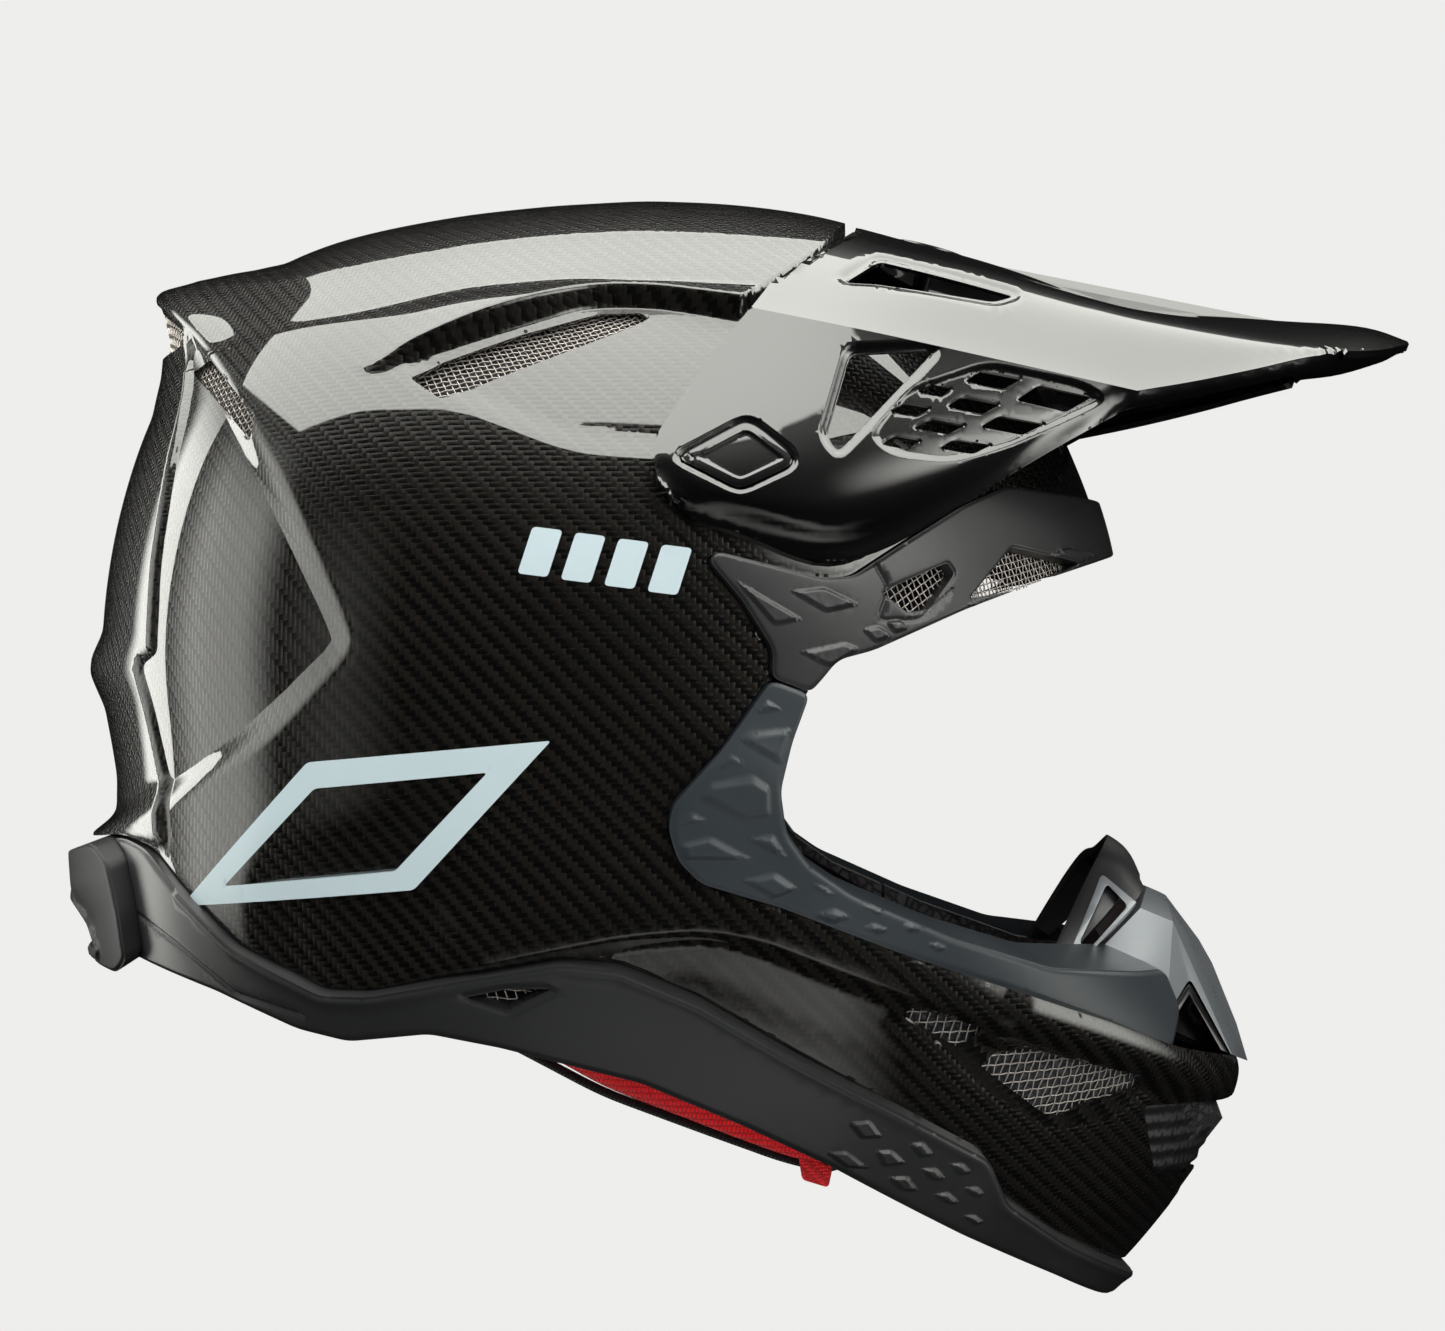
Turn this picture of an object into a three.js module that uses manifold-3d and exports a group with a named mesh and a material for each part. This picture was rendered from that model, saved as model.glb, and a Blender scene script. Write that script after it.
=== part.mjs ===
// Motocross helmet: carbon shell with chin bar, adjustable peak, rubber trims, vents, foam liners, pads and chin strap.
// Millimetres. +X is the way the wearer looks, +Y is the wearer's left, +Z is up, and the head as worn is upright.
// The origin is the centre of the head form, in the mid-plane and level with the ears.
import * as THREE from "three";
import { ConvexGeometry } from "three/addons/geometries/ConvexGeometry.js";
import { mergeVertices } from "three/addons/utils/BufferGeometryUtils.js";
import Module from "manifold-3d";

const wasm = await Module();
wasm.setup();

// ---------------------------------------------------------------- driving dimensions
const GAP = 0.35; // between pieces that touch
const HALF_WIDTH = 126; // of the bare shell
const ROUNDNESS = 2.5; // superellipse exponent of the sections through the head centre
const SHELL = 2.8; // carbon shell thickness
const EPS_DEPTH = 36; // from the outer face of the shell to the inner face of the foam
const LINER = 9; // comfort liner thickness
const RAISE = 6; // height of the upper shoulder panel above the shell under the peak
const TRIM_OUT = 2.6; // how far rubber trims stand proud of the shell
const PEAK_SKIN = 2.6; // peak wall
const PIVOT = { x: 41.5, z: 56, stud: 5 }; // the axis on which the peak tilts
const STRAP = { x: -20, width: 24, thick: 1.6, y: 80.5 };
const BAY_Y = 84; // half the distance between the foam walls that hold the cheek pads
const PAD_Y = [52, 79]; // inner and outer faces of a cheek pad
const AROUND = 40; // facets around a section dome
const ACROSS = 12; // facets from side to side

// Side profile of the bare shell as [degrees from +X towards +Z, millimetres from the head centre].
const PROFILE = [
  [-250, 135.5], [-240, 142.5], [-230, 148.5], [-220, 150.5], [-210, 149], [-200, 146.5], [-190, 145],
  [-180, 144.5], [-170, 144], [-160, 149], [-150, 160], [-135, 174], [-120, 185], [-105, 195], [-90, 205],
  [-75, 215], [-60, 228], [-51, 233], [-46, 230], [-41, 228], [-36, 228], [-34, 224], [-31, 208], [-27, 188],
  [-23, 173], [-18, 162], [-12, 155], [-4, 150], [5, 149], [15, 149.5], [24, 149], [32, 150], [41, 149.5],
  [50, 146.5], [60, 140.5], [70, 134], [80, 129.4], [90, 127.6], [100, 130],
];
// What stands out from that profile in a band over the rear centre: the top spoiler, a lip and the lower step.
const REAR_RELIEF = [
  [-230, 2], [-225, 9], [-220, 17.5], [-216.5, 9], [-213, 3], [-209, 0], [-184, 0], [-181, 3.5], [-179, 4],
  [-175, 0], [-167, -2], [-163, -1], [-161, 5], [-157, 5], [-153, 0],
];
const RELIEF_BAND = 34; // degrees of section angle over which it fades to nothing

// Outlines in side view, [x, z].
const BASE_TOP = [
  [-144, -49], [-130, -47], [-123, -50], [-112, -61.5], [-97, -75.5], [-87, -81], [-72, -88], [-59, -88],
  [-32, -83], [-8, -79], [8, -80.5], [29.5, -89.5], [56.5, -105.5], [83.5, -120], [107.5, -134], [113, -147],
  [130, -160], [154, -174],
];
const BASE_BOTTOM = [
  [-145, -76], [-131, -79], [-102, -88], [-79, -97.5], [-65, -100.5], [-43, -98], [-24, -101.5], [13.5, -111],
  [40, -122.5], [64.5, -134.5], [101, -155.5], [127.5, -169.5], [145.5, -180],
];
const BROW = [
  [31.5, 27.5], [33.5, 30], [61.5, 23], [69.5, 23.5], [84, 33], [100, 43], [112, 48.5], [130, 47], [152, 46],
  [156, 34], [146, 31], [120, 22.5], [100, 15], [75, 4], [65.5, 1.5], [60.5, -4.5], [58, -7], [48, -3.2], [48.5, 4], [40, 17.5],
];
const GASKET = [
  [48, -3.8], [58, -7.6], [53.5, -20], [50.5, -33], [52, -44], [58, -52.5], [69.5, -60.5], [97, -72.5],
  [124, -81.5], [150, -84], [185, -84], [178, -112], [160, -106.5], [139.5, -97.5], [111, -86.5], [83, -76.5],
  [51, -64], [29.5, -57.5], [23.5, -51.5], [21, -43.5], [22, -37], [35, -22.5],
];
const EYE_PORT = [
  [230, 30], [156, 34], [146, 31], [120, 22.5], [100, 15], [75, 4], [65.5, 1.5], [60.5, -4.5], [58, -7.3],
  [53.5, -20], [50.5, -33], [52, -44], [58, -52.5], [69.5, -60.5], [97, -72.5], [124, -81.5], [150, -84], [230, -84],
];
const PEAK_REAR = [[12, 66], [17.5, 62], [24, 71.5], [33.5, 85], [43, 97.5], [54, 105], [65, 112.5], [74, 126]];
const TOP_VENT = [[-49, 78], [-40.5, 72], [-24.5, 79], [13, 94.5], [15.5, 96.5], [13, 98], [2, 97.5], [-19.5, 91], [-41, 83]];
const REAR_VENT_UPPER = [[-130, 98], [-122.5, 98.5], [-111, 90], [-115, 86], [-130, 83]];
const REAR_VENT_LOWER = [[-114, 82.5], [-108, 86], [-97, 73.5], [-92.5, 68], [-94.5, 62]];
const CHIN_VENT_REAR = [[84.5, -95], [87, -92], [108, -99], [105, -102.5], [100.5, -105]];
const CHIN_VENT_FRONT = [[107, -110.5], [111, -107], [119.5, -105], [151.5, -114], [153.5, -119], [137.5, -123], [130.5, -126], [125.5, -125]];
const BASE_VENT = [[-33, -88], [-21.5, -85.5], [-10, -85.5], [-22, -91.5]];
const BROW_VENTS = [
  [[77, 19.5], [95, 27.5], [97, 24.5], [90, 15], [84, 14]],
  [[101, 18], [113, 32], [133, 28], [119, 21]],
];
const CHEEK_PAD = [
  [-44, -70], [-3, -70], [3, -34], [22, -31], [44, -46], [56, -57], [79, -70], [82, -112], [68, -138], [54, -134.5],
  [29, -125], [2, -115], [-16, -106], [-40, -94],
];

// ---------------------------------------------------------------- small tools
const solid = (geometry) => {
  const plain = geometry.index ? geometry.toNonIndexed() : geometry.clone();
  for (const name of Object.keys(plain.attributes)) if (name !== "position") plain.deleteAttribute(name);
  const merged = mergeVertices(plain, 1e-4);
  return new wasm.Manifold(
    new wasm.Mesh({
      numProp: 3,
      vertProperties: new Float32Array(merged.attributes.position.array),
      triVerts: new Uint32Array(merged.index.array),
    }),
  );
};

const geometryOf = (manifold) => {
  const mesh = manifold.getMesh();
  const geometry = new THREE.BufferGeometry();
  geometry.setAttribute("position", new THREE.BufferAttribute(mesh.vertProperties, 3));
  geometry.setIndex(new THREE.BufferAttribute(mesh.triVerts, 1));
  geometry.computeVertexNormals();
  return geometry;
};

const group = new THREE.Group();
const place = (name, shape, color, roughness = 0.5, metalness = 0) => {
  const pieces = shape.decompose().sort((a, b) => b.volume() - a.volume());
  const mesh = new THREE.Mesh(
    geometryOf(pieces[0]),
    new THREE.MeshStandardMaterial({ color, roughness, metalness }),
  );
  mesh.name = name;
  group.add(mesh);
};
const placePair = (name, shape, ...look) => {
  place(name + "_right", shape, ...look);
  place(name + "_left", shape.mirror([0, 1, 0]), ...look);
};

const smooth = (low, high, value) => THREE.MathUtils.smoothstep(value, low, high);

// Value of a closed or open polar table at an angle, by Catmull-Rom between its rows.
const polar = (table, degrees, closed) => {
  const angle = THREE.MathUtils.euclideanModulo(degrees + 255, 360) - 255;
  const count = table.length;
  const row = (i) => {
    if (!closed) return table[THREE.MathUtils.clamp(i, 0, count - 1)];
    const turns = Math.floor(i / count);
    const [a, r] = table[i - turns * count];
    return [a + 360 * turns, r];
  };
  if (!closed && (angle <= table[0][0] || angle >= table[count - 1][0])) return 0;
  let i = closed ? -1 : 0;
  while (row(i + 1)[0] <= angle) i += 1;
  const [p0, p1, p2, p3] = [row(i - 1), row(i), row(i + 1), row(i + 2)];
  const t = (angle - p1[0]) / (p2[0] - p1[0]);
  const span = p2[0] - p1[0];
  const m1 = ((p2[1] - p0[1]) / (p2[0] - p0[0] || 1)) * span;
  const m2 = ((p3[1] - p1[1]) / (p3[0] - p1[0] || 1)) * span;
  const [t2, t3] = [t * t, t * t * t];
  return (2 * t3 - 3 * t2 + 1) * p1[1] + (t3 - 2 * t2 + t) * m1 + (3 * t2 - 2 * t3) * p2[1] + (t3 - t2) * m2;
};

// Half-width of the shell's outer face over the point (x, z) of the side view.
const halfWidth = (x, z) => {
  const r = Math.hypot(x, z) / polar(PROFILE, THREE.MathUtils.radToDeg(Math.atan2(z, x)), true);
  return HALF_WIDTH * Math.sqrt(Math.max(0, 1 - r ** ROUNDNESS)) * chinNarrowing(x, z);
};
const chinNarrowing = (x, z) => 1 - 0.26 * smooth(60, 190, x) * smooth(20, 90, -z);

// The raised shoulder behind the peak, over the point (x, z).
const shoulderRise = (x, z) => RAISE * smooth(-60, 30, x) * smooth(-3, 3, z - (92 + 0.12 * x));

// A closed dome that follows the shell's outer face at an offset. detail adds the rear relief, raised the shoulder.
const dome = (offset, { detail = false, raised = false } = {}) => {
  const [around, across] = [AROUND, ACROSS];
  const positions = [];
  const point = (i, j) => {
    const degrees = (360 * i) / around;
    const section = (Math.PI / 2) * ((2 * j) / across - 1);
    const a = THREE.MathUtils.degToRad(degrees);
    const c = Math.cos(section);
    const fade = 1 - smooth(0, RELIEF_BAND, THREE.MathUtils.radToDeg(Math.abs(section)));
    const relief = detail ? fade * polar(REAR_RELIEF, degrees, false) : 0;
    let r = (polar(PROFILE, degrees, true) + offset + relief) * c ** (2 / ROUNDNESS);
    const [x0, z0] = [r * Math.cos(a), r * Math.sin(a)];
    const rise = raised ? shoulderRise(x0, z0) : 0;
    r += rise * c;
    const x = r * Math.cos(a);
    const z = r * Math.sin(a);
    const y = (HALF_WIDTH + offset + rise) * Math.sin(section) * chinNarrowing(x, z);
    return new THREE.Vector3(x, y, z);
  };
  const poles = [new THREE.Vector3(0, -HALF_WIDTH - offset, 0), new THREE.Vector3(0, HALF_WIDTH + offset, 0)];
  const tri = (...corners) => corners.forEach((p) => positions.push(p.x, p.y, p.z));
  for (let i = 0; i < around; i += 1) {
    const next = (i + 1) % around;
    tri(poles[0], point(i, 1), point(next, 1));
    tri(poles[1], point(next, across - 1), point(i, across - 1));
    for (let j = 1; j < across - 1; j += 1) {
      const [a, b, c, d] = [point(i, j), point(next, j), point(next, j + 1), point(i, j + 1)];
      if (j < across / 2) {
        tri(a, c, b);
        tri(a, d, c);
      } else {
        tri(a, d, b);
        tri(b, d, c);
      }
    }
  }
  const geometry = new THREE.BufferGeometry();
  geometry.setAttribute("position", new THREE.Float32BufferAttribute(positions, 3));
  return solid(geometry);
};

// An outline in side view, carried along Y from y0 to y1.
const prism = (outline, y0 = -200, y1 = 200) => {
  const shape = new THREE.Shape(outline.map(([x, z]) => new THREE.Vector2(x, z)));
  const geometry = new THREE.ExtrudeGeometry(shape, { depth: y1 - y0, bevelEnabled: false });
  return solid(geometry.rotateX(Math.PI / 2).translate(0, y1, 0));
};

// The outline moved outwards by d, each corner along the mean of its two edge normals.
const grown = (outline, d) => {
  const turn = THREE.ShapeUtils.area(outline.map(([x, z]) => new THREE.Vector2(x, z))) > 0 ? 1 : -1;
  return outline.map((p, i) => {
    const before = outline[(i + outline.length - 1) % outline.length];
    const after = outline[(i + 1) % outline.length];
    const e1 = new THREE.Vector2(p[0] - before[0], p[1] - before[1]).normalize();
    const e2 = new THREE.Vector2(after[0] - p[0], after[1] - p[1]).normalize();
    const n = new THREE.Vector2(e1.y + e2.y, -e1.x - e2.x).multiplyScalar(turn).normalize();
    const stretch = 1 / Math.max(0.5, Math.abs(n.x * e1.y - n.y * e1.x));
    return [p[0] + n.x * d * stretch, p[1] + n.y * d * stretch];
  });
};
const rightOnly = (outline) => prism(outline, -200, 0);

// A closed slab between two offsets of a grid of points, offsets along the grid's normals.
const slab = (grid, top, bottom) => {
  const rows = grid.length;
  const columns = grid[0].length;
  const normal = (i, j) => {
    const along = grid[Math.min(i + 1, rows - 1)][j].clone().sub(grid[Math.max(i - 1, 0)][j]);
    const across = grid[i][Math.min(j + 1, columns - 1)].clone().sub(grid[i][Math.max(j - 1, 0)]);
    return along.cross(across).normalize();
  };
  const layer = (offset) => grid.map((row, i) => row.map((p, j) => p.clone().addScaledVector(normal(i, j), offset)));
  const [upper, lower] = [layer(top), layer(bottom)];
  const positions = [];
  const quad = (a, b, c, d) => [a, b, c, a, c, d].forEach((p) => positions.push(p.x, p.y, p.z));
  for (let i = 0; i < rows - 1; i += 1) {
    for (let j = 0; j < columns - 1; j += 1) {
      quad(upper[i][j], upper[i + 1][j], upper[i + 1][j + 1], upper[i][j + 1]);
      quad(lower[i][j], lower[i][j + 1], lower[i + 1][j + 1], lower[i + 1][j]);
    }
    quad(upper[i][0], lower[i][0], lower[i + 1][0], upper[i + 1][0]);
    const e = columns - 1;
    quad(upper[i][e], upper[i + 1][e], lower[i + 1][e], lower[i][e]);
  }
  for (let j = 0; j < columns - 1; j += 1) {
    quad(upper[0][j], upper[0][j + 1], lower[0][j + 1], lower[0][j]);
    const e = rows - 1;
    quad(upper[e][j], lower[e][j], lower[e][j + 1], upper[e][j + 1]);
  }
  const geometry = new THREE.BufferGeometry();
  geometry.setAttribute("position", new THREE.Float32BufferAttribute(positions, 3));
  const made = solid(geometry);
  return made.volume() < 0 ? made.mirror([0, 1, 0]).mirror([0, 1, 0]) : made;
};

const cylinderY = (radius, y0, y1, x, z, sides = 16) =>
  solid(new THREE.CylinderGeometry(radius, radius, y1 - y0, sides).translate(x, (y0 + y1) / 2, z));
const hull = (points) => solid(new ConvexGeometry(points.map((p) => new THREE.Vector3(...p))));
const bothSides = (points) => points.flatMap(([x, y, z]) => (y ? [[x, y, z], [x, -y, z]] : [[x, y, z]]));

// ---------------------------------------------------------------- shell
const OUTER = dome(0, { detail: true });
const RAISED = dome(0, { detail: true, raised: true });
const PEAK_ZONE = [...PEAK_REAR, [74, 180], [260, 180], [260, 40], [110, 40], [60, 20], [12, 50]];
const shellFace = OUTER.add(RAISED.subtract(prism(PEAK_ZONE)));
const belowBase = prism([...BASE_TOP, [260, -174], [260, -320], [-260, -320], [-260, -49]]);
const belowBaseGrown = prism(grown([...BASE_TOP, [260, -174], [260, -320], [-260, -320], [-260, -49]], GAP));
const eyePort = prism(EYE_PORT);
const trimZone = prism(grown(BROW, GAP)).add(prism(grown(GASKET, GAP))).add(eyePort);
const layer = (outer, inner) => dome(outer).subtract(dome(inner));
const vents = [TOP_VENT, REAR_VENT_UPPER, REAR_VENT_LOWER, CHIN_VENT_REAR, CHIN_VENT_FRONT].map((v) => prism(v));
const screwSlot = hull(bothSides([[88, 3.4], [99, 3.4], [85, 0], [102, 0]].flatMap(([x, y]) => [[x, y, 100], [x, y, 120]])));
const frontGrilleCut = hull(bothSides([[215, 22, -122], [150, 22, -122], [210, 17, -150], [140, 17, -150]]));

let shell = shellFace.subtract(dome(-SHELL)).subtract(trimZone).subtract(belowBaseGrown);
vents.forEach((v) => {
  shell = shell.subtract(v);
});
const studSocket = cylinderY(PIVOT.stud + GAP, -200, 200, PIVOT.x, PIVOT.z);

// ---------------------------------------------------------------- vent meshes, set just inside the shell
const meshPlate = (outline, outer = -SHELL - GAP, inner = outer - 1) =>
  layer(outer, inner).intersect(rightOnly(grown(outline, 2)));
placePair("top_vent_mesh", meshPlate(TOP_VENT), 0x8d8a86, 0.35, 0.9);
placePair("rear_upper_vent_mesh", meshPlate(REAR_VENT_UPPER).intersect(prism([[-200, 120], [-60, 120], [-60, 84.6], [-200, 84.6]], -200, -3)), 0x8d8a86, 0.35, 0.9);
placePair("rear_lower_vent_mesh", meshPlate(grown(REAR_VENT_LOWER, -1)).intersect(prism([[-200, 82], [-60, 82], [-60, 0], [-200, 0]])), 0x8d8a86, 0.35, 0.9);
placePair("chin_rear_vent_mesh", meshPlate(grown(CHIN_VENT_REAR, -1)), 0x8d8a86, 0.35, 0.9);
placePair("chin_front_vent_mesh", meshPlate(grown(CHIN_VENT_FRONT, -1)), 0x8d8a86, 0.35, 0.9);
const grillePlate = layer(-SHELL - GAP, -SHELL - GAP - 1.4).intersect(
  hull(bothSides([[220, 24, -120], [140, 24, -120], [214, 19, -152], [130, 19, -152]])),
);
place("chin_front_grille", grillePlate.intersect(prism([[150, -100], [260, -100], [260, -180], [150, -180]])), 0x1a1a1b, 0.5, 0.1);

// ---------------------------------------------------------------- rubber trims
const chinHullPoints = (g) =>
  bothSides([
    [157 - g, 18, -63.5 + g], [163, 12, -66 + g], [168 + g, 9, -72.5 + g], [173 + g, 7, -79 + g], [177 + g, 6, -86 + g], [184 + g, 6, -103.4],
    [187 + g, 8, -114 - g], [153.5 - g, 40 + g, -68.5 + g], [163, 36 + g, -72.5 + g], [134 - g, 54 + g, -86.5 + g], [132 - g, 50, -92 - g], [149, 52 + g, -96 - g],
    [160, 47 + g, -101.5 - g], [181 + g, 24 + g, -111 - g],
  ]);
const chinVentRaw = hull(chinHullPoints(0));
const chinVentGrown = hull(chinHullPoints(0.6));
shell = shell.subtract(screwSlot).subtract(frontGrilleCut).subtract(studSocket).subtract(chinVentGrown);
place("carbon_shell", shell, 0x1c1a18, 0.18, 0.2);
const INTAKE = [[168, -89.5], [181, -112], [160, -108], [157.5, -104]];
const intakeCut = (grow) => prism(grown(INTAKE, grow), -60, -10 + grow);
const chinVent = chinVentRaw.intersect(layer(8, -14));
const intakes = intakeCut(GAP).add(intakeCut(GAP).mirror([0, 1, 0]));
place("chin_vent_body", chinVent.subtract(intakes), 0x3a4145, 0.45, 0.1);
placePair("chin_intake", chinVent.intersect(intakeCut(0)), 0x0c0c0d, 0.2, 0);

const nose = (x, y, z) => new THREE.Vector3(x, y, z);
const noseRow = [
  [nose(127, -55.5, -82), nose(133, -54.5, -85.3)],
  [nose(141, -31, -57), nose(152, -42.5, -66.5)],
  [nose(144, -14, -54), nose(154, -20, -61.5)],
  [nose(146.5, 0, -50), nose(155, 0, -60.5)],
];
const noseGrid = [...noseRow, ...noseRow.slice(0, 3).reverse().map((row) => row.map((p) => nose(p.x, -p.y, p.z)))];
const noseWindow = hull([[143, -80, -64.5], [147.5, -80, -69.5], [137, -80, -79], [135.5, -80, -76.5], [143, -20, -62], [147.5, -20, -67], [137, -20, -77], [135.5, -20, -74]]);
const noseGuard = slab(noseGrid, 1.2, -1.2)
  .subtract(chinVentGrown)
  .subtract(prism(grown(GASKET, 0.6)))
  .subtract(noseWindow)
  .subtract(noseWindow.mirror([0, 1, 0]));
place("nose_guard", noseGuard, 0x26282a, 0.55, 0);

const browBody = layer(TRIM_OUT, -15).intersect(prism(BROW));
const browVents = BROW_VENTS.map((v) => prism(v)).reduce((a, b) => a.add(b));
place("brow_trim", browBody.subtract(browVents.subtract(dome(-9))), 0x1b1c1d, 0.5, 0);
BROW_VENTS.forEach((outline, i) =>
  placePair(
    ["brow_vent_mesh_rear", "brow_vent_mesh_front"][i],
    layer(-1, -2).intersect(rightOnly(grown(outline, -GAP))),
    0x8d8a86, 0.35, 0.9,
  ),
);
place(
  "eye_port_gasket",
  layer(TRIM_OUT, -15).intersect(prism(GASKET)).subtract(chinVentGrown),
  0x3c4548, 0.6, 0,
);

const padBay = [...CHEEK_PAD.slice(2, 8), [82, -260], [-46, -260], [-46, -26], [3, -26]];
const bay = prism(grown(padBay, 1.5), -BAY_Y, BAY_Y);
const BASE = [...BASE_TOP, ...[...BASE_BOTTOM].reverse()];
const SPOILER = [[-165, -42], [-140, -42], [-130, -51], [-126, -66], [-124, -80], [-115, -86.5], [-128, -88], [-165, -88]];
const spoilerFace = dome(9.5).intersect(prism([[-165, -51], [-150, -53.5], [-141, -48.5], [-133, -46.5], [-110, -60], [-110, -100], [-130, -79.5], [-145, -77.5], [-165, -75]]));
const spoilerHole = prism([[-146, -61], [-141, -63], [-134, -77], [-142, -75]], -60, -12);
const basePrism = prism(BASE).subtract(prism(grown(SPOILER, GAP)));
const baseVent = prism(BASE_VENT);
place("base_trim", layer(TRIM_OUT, -16).intersect(basePrism).subtract(baseVent.subtract(dome(-8))).subtract(bay), 0x222325, 0.55, 0);
placePair("base_vent_mesh", layer(-1, -2).intersect(rightOnly(grown(BASE_VENT, -GAP))), 0x8d8a86, 0.35, 0.9);
place(
  "rear_exhaust_spoiler",
  spoilerFace.intersect(prism(SPOILER)).subtract(dome(-16)).intersect(belowBase).subtract(spoilerHole).subtract(spoilerHole.mirror([0, 1, 0])),
  0x2b2c2e, 0.5, 0,
);

// ---------------------------------------------------------------- foam and comfort liners
const behindFace = prism([[-260, 260], [158, 260], [158, 45], [92, 30], [84, -50], [84, -320], [-260, -320]]);
const trims = prism(grown(BROW, 0.6)).add(prism(grown(GASKET, 0.6)));
const trimPocket = layer(20, -15.5).intersect(trims);
const basePocket = layer(20, -16.5).intersect(belowBaseGrown);
const neckZone = [[-150, -62], [-56, -72], [-56, -97], [-79, -94], [-102, -85], [-128, -76], [-150, -72]];
const neckCut = prism([[-260, -320], [-260, -76], [-128, -76], [-72, -92], [-24, -97], [40, -118], [84, -138], [84, -320]]);
const screwWell = hull(bothSides([[82, 8, 96], [108, 8, 96], [82, 8, 125], [108, 8, 125]]));
const studWell = cylinderY(PIVOT.stud + 4, -200, -104, PIVOT.x, PIVOT.z, 16);
const foam = (depth) => layer(-SHELL - 2, -depth).subtract(eyePort).subtract(trimPocket).subtract(basePocket);
const wells = screwWell.add(studWell).add(studWell.mirror([0, 1, 0]));
const headFoam = foam(EPS_DEPTH)
  .intersect(behindFace).subtract(neckCut).subtract(prism(grown(neckZone, 1))).subtract(bay).subtract(wells);
const rect = (x0, x1, z0, z1, ...y) => prism([[x0, z0], [x1, z0], [x1, z1], [x0, z1]], ...y);
const [splitX, splitZ] = [-30, 30];
place("eps_crown_liner", headFoam.intersect(rect(-260, 260, splitZ + GAP / 2, 260)), 0x2a2b2c, 0.9, 0);
place("eps_rear_liner", headFoam.intersect(rect(-260, splitX - GAP / 2, -320, splitZ - GAP / 2)), 0x2a2b2c, 0.9, 0);
placePair("eps_side_liner", headFoam.intersect(rect(splitX + GAP / 2, 260, -320, splitZ - GAP / 2, -200, 0)), 0x2a2b2c, 0.9, 0);
const chinSide = prism([[85, -60], [260, -60], [260, -320], [85, -320]]);
const chinFloor = prism([[85, -146], [120, -165], [150, -182], [150, -320], [85, -320]]);
place("eps_chin_liner", foam(26).intersect(chinSide).subtract(chinVentGrown).subtract(chinFloor), 0x2a2b2c, 0.9, 0);
const crownZone = prism([
  [-260, 260], [104, 260], [104, 40], [62, 4], [40, -22], [4, -22], [-50, -22], [-52, -60], [-130, -54], [-260, -40],
]);
const comfort = layer(-EPS_DEPTH - GAP, -EPS_DEPTH - LINER).intersect(crownZone).subtract(bay);
place("comfort_liner", comfort, 0x1d1d1f, 0.95, 0);
const neckRoll = layer(-17.5, -EPS_DEPTH - 7).intersect(prism(neckZone)).subtract(bay);
place("neck_roll", neckRoll, 0x1d1d1f, 0.95, 0);

placePair("cheek_pad", prism(CHEEK_PAD, -PAD_Y[1], -PAD_Y[0]), 0xc0121c, 0.95, 0);
const backing = prism(grown(CHEEK_PAD, -5), -PAD_Y[1] - 1.8, -PAD_Y[1] - GAP);
const snaps = [[20, -52], [60, -86], [-10, -88]].map(([x, z]) => cylinderY(4, -BAY_Y + 0.5, -PAD_Y[1] - 1, x, z, 16));
placePair("cheek_pad_backing", backing.add(snaps[0]).add(snaps[1]).add(snaps[2]), 0x2c2c2e, 0.6, 0);
placePair("release_tab", prism([[57, -136.4], [66, -138.6], [64.5, -144], [58, -141.5]], -72, -60), 0xd8141e, 0.8, 0);

// ---------------------------------------------------------------- chin strap
// The strap lies across the mid-plane between its anchors; [y, z] of its middle line, right half.
const WEB = [[-STRAP.y, -36], [-STRAP.y, -50], [-79, -57], [-68, -60], [-54, -63], [-46, -73], [-34, -89], [-19, -99], [0, -102.5]];
const webX = [STRAP.x - STRAP.width / 2, STRAP.x + STRAP.width / 2];
const ribbon = (run, thick, [x0, x1], steps = 30) => {
  const middle = new THREE.CatmullRomCurve3(run.map(([y, z]) => new THREE.Vector3(y, z, 0)), false, "centripetal");
  const points = middle.getSpacedPoints(steps);
  const edge = (offset) =>
    points.map((p, i) => {
      const t = points[Math.min(i + 1, steps)].clone().sub(points[Math.max(i - 1, 0)]).normalize();
      return new THREE.Vector2(p.x - t.y * offset, p.y + t.x * offset);
    });
  const shape = new THREE.Shape([...edge(thick / 2), ...edge(-thick / 2).reverse()]);
  const geometry = new THREE.ExtrudeGeometry(shape, { depth: x1 - x0, bevelEnabled: false });
  const basis = new THREE.Matrix4().makeBasis(
    new THREE.Vector3(0, 1, 0), new THREE.Vector3(0, 0, 1), new THREE.Vector3(1, 0, 0),
  );
  return solid(geometry.applyMatrix4(basis).translate(x0, 0, 0));
};
const leftHalf = WEB.slice(0, -1).reverse().map(([y, z]) => [-y, z]);
const ringAt = { y: -30, z: -92.5 };
const longRun = [[-17, -98.2], ...WEB.slice(-1), ...leftHalf];
place("chin_strap_short", ribbon(WEB.slice(0, 7).concat([[-33, -90.5]]), STRAP.thick, webX, 20), 0x141415, 0.9, 0);
place("chin_strap_long", ribbon(longRun, STRAP.thick, webX, 24), 0x141415, 0.9, 0);
placePair(
  "strap_anchor",
  prism([[STRAP.x - 8, -28], [STRAP.x + 8, -28], [STRAP.x + 14, -36], [STRAP.x + 14, -46], [STRAP.x - 14, -46], [STRAP.x - 14, -36]],
    -BAY_Y + 0.2, -STRAP.y - STRAP.thick / 2 - GAP),
  0x9c9c9e, 0.35, 0.9,
);
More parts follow.
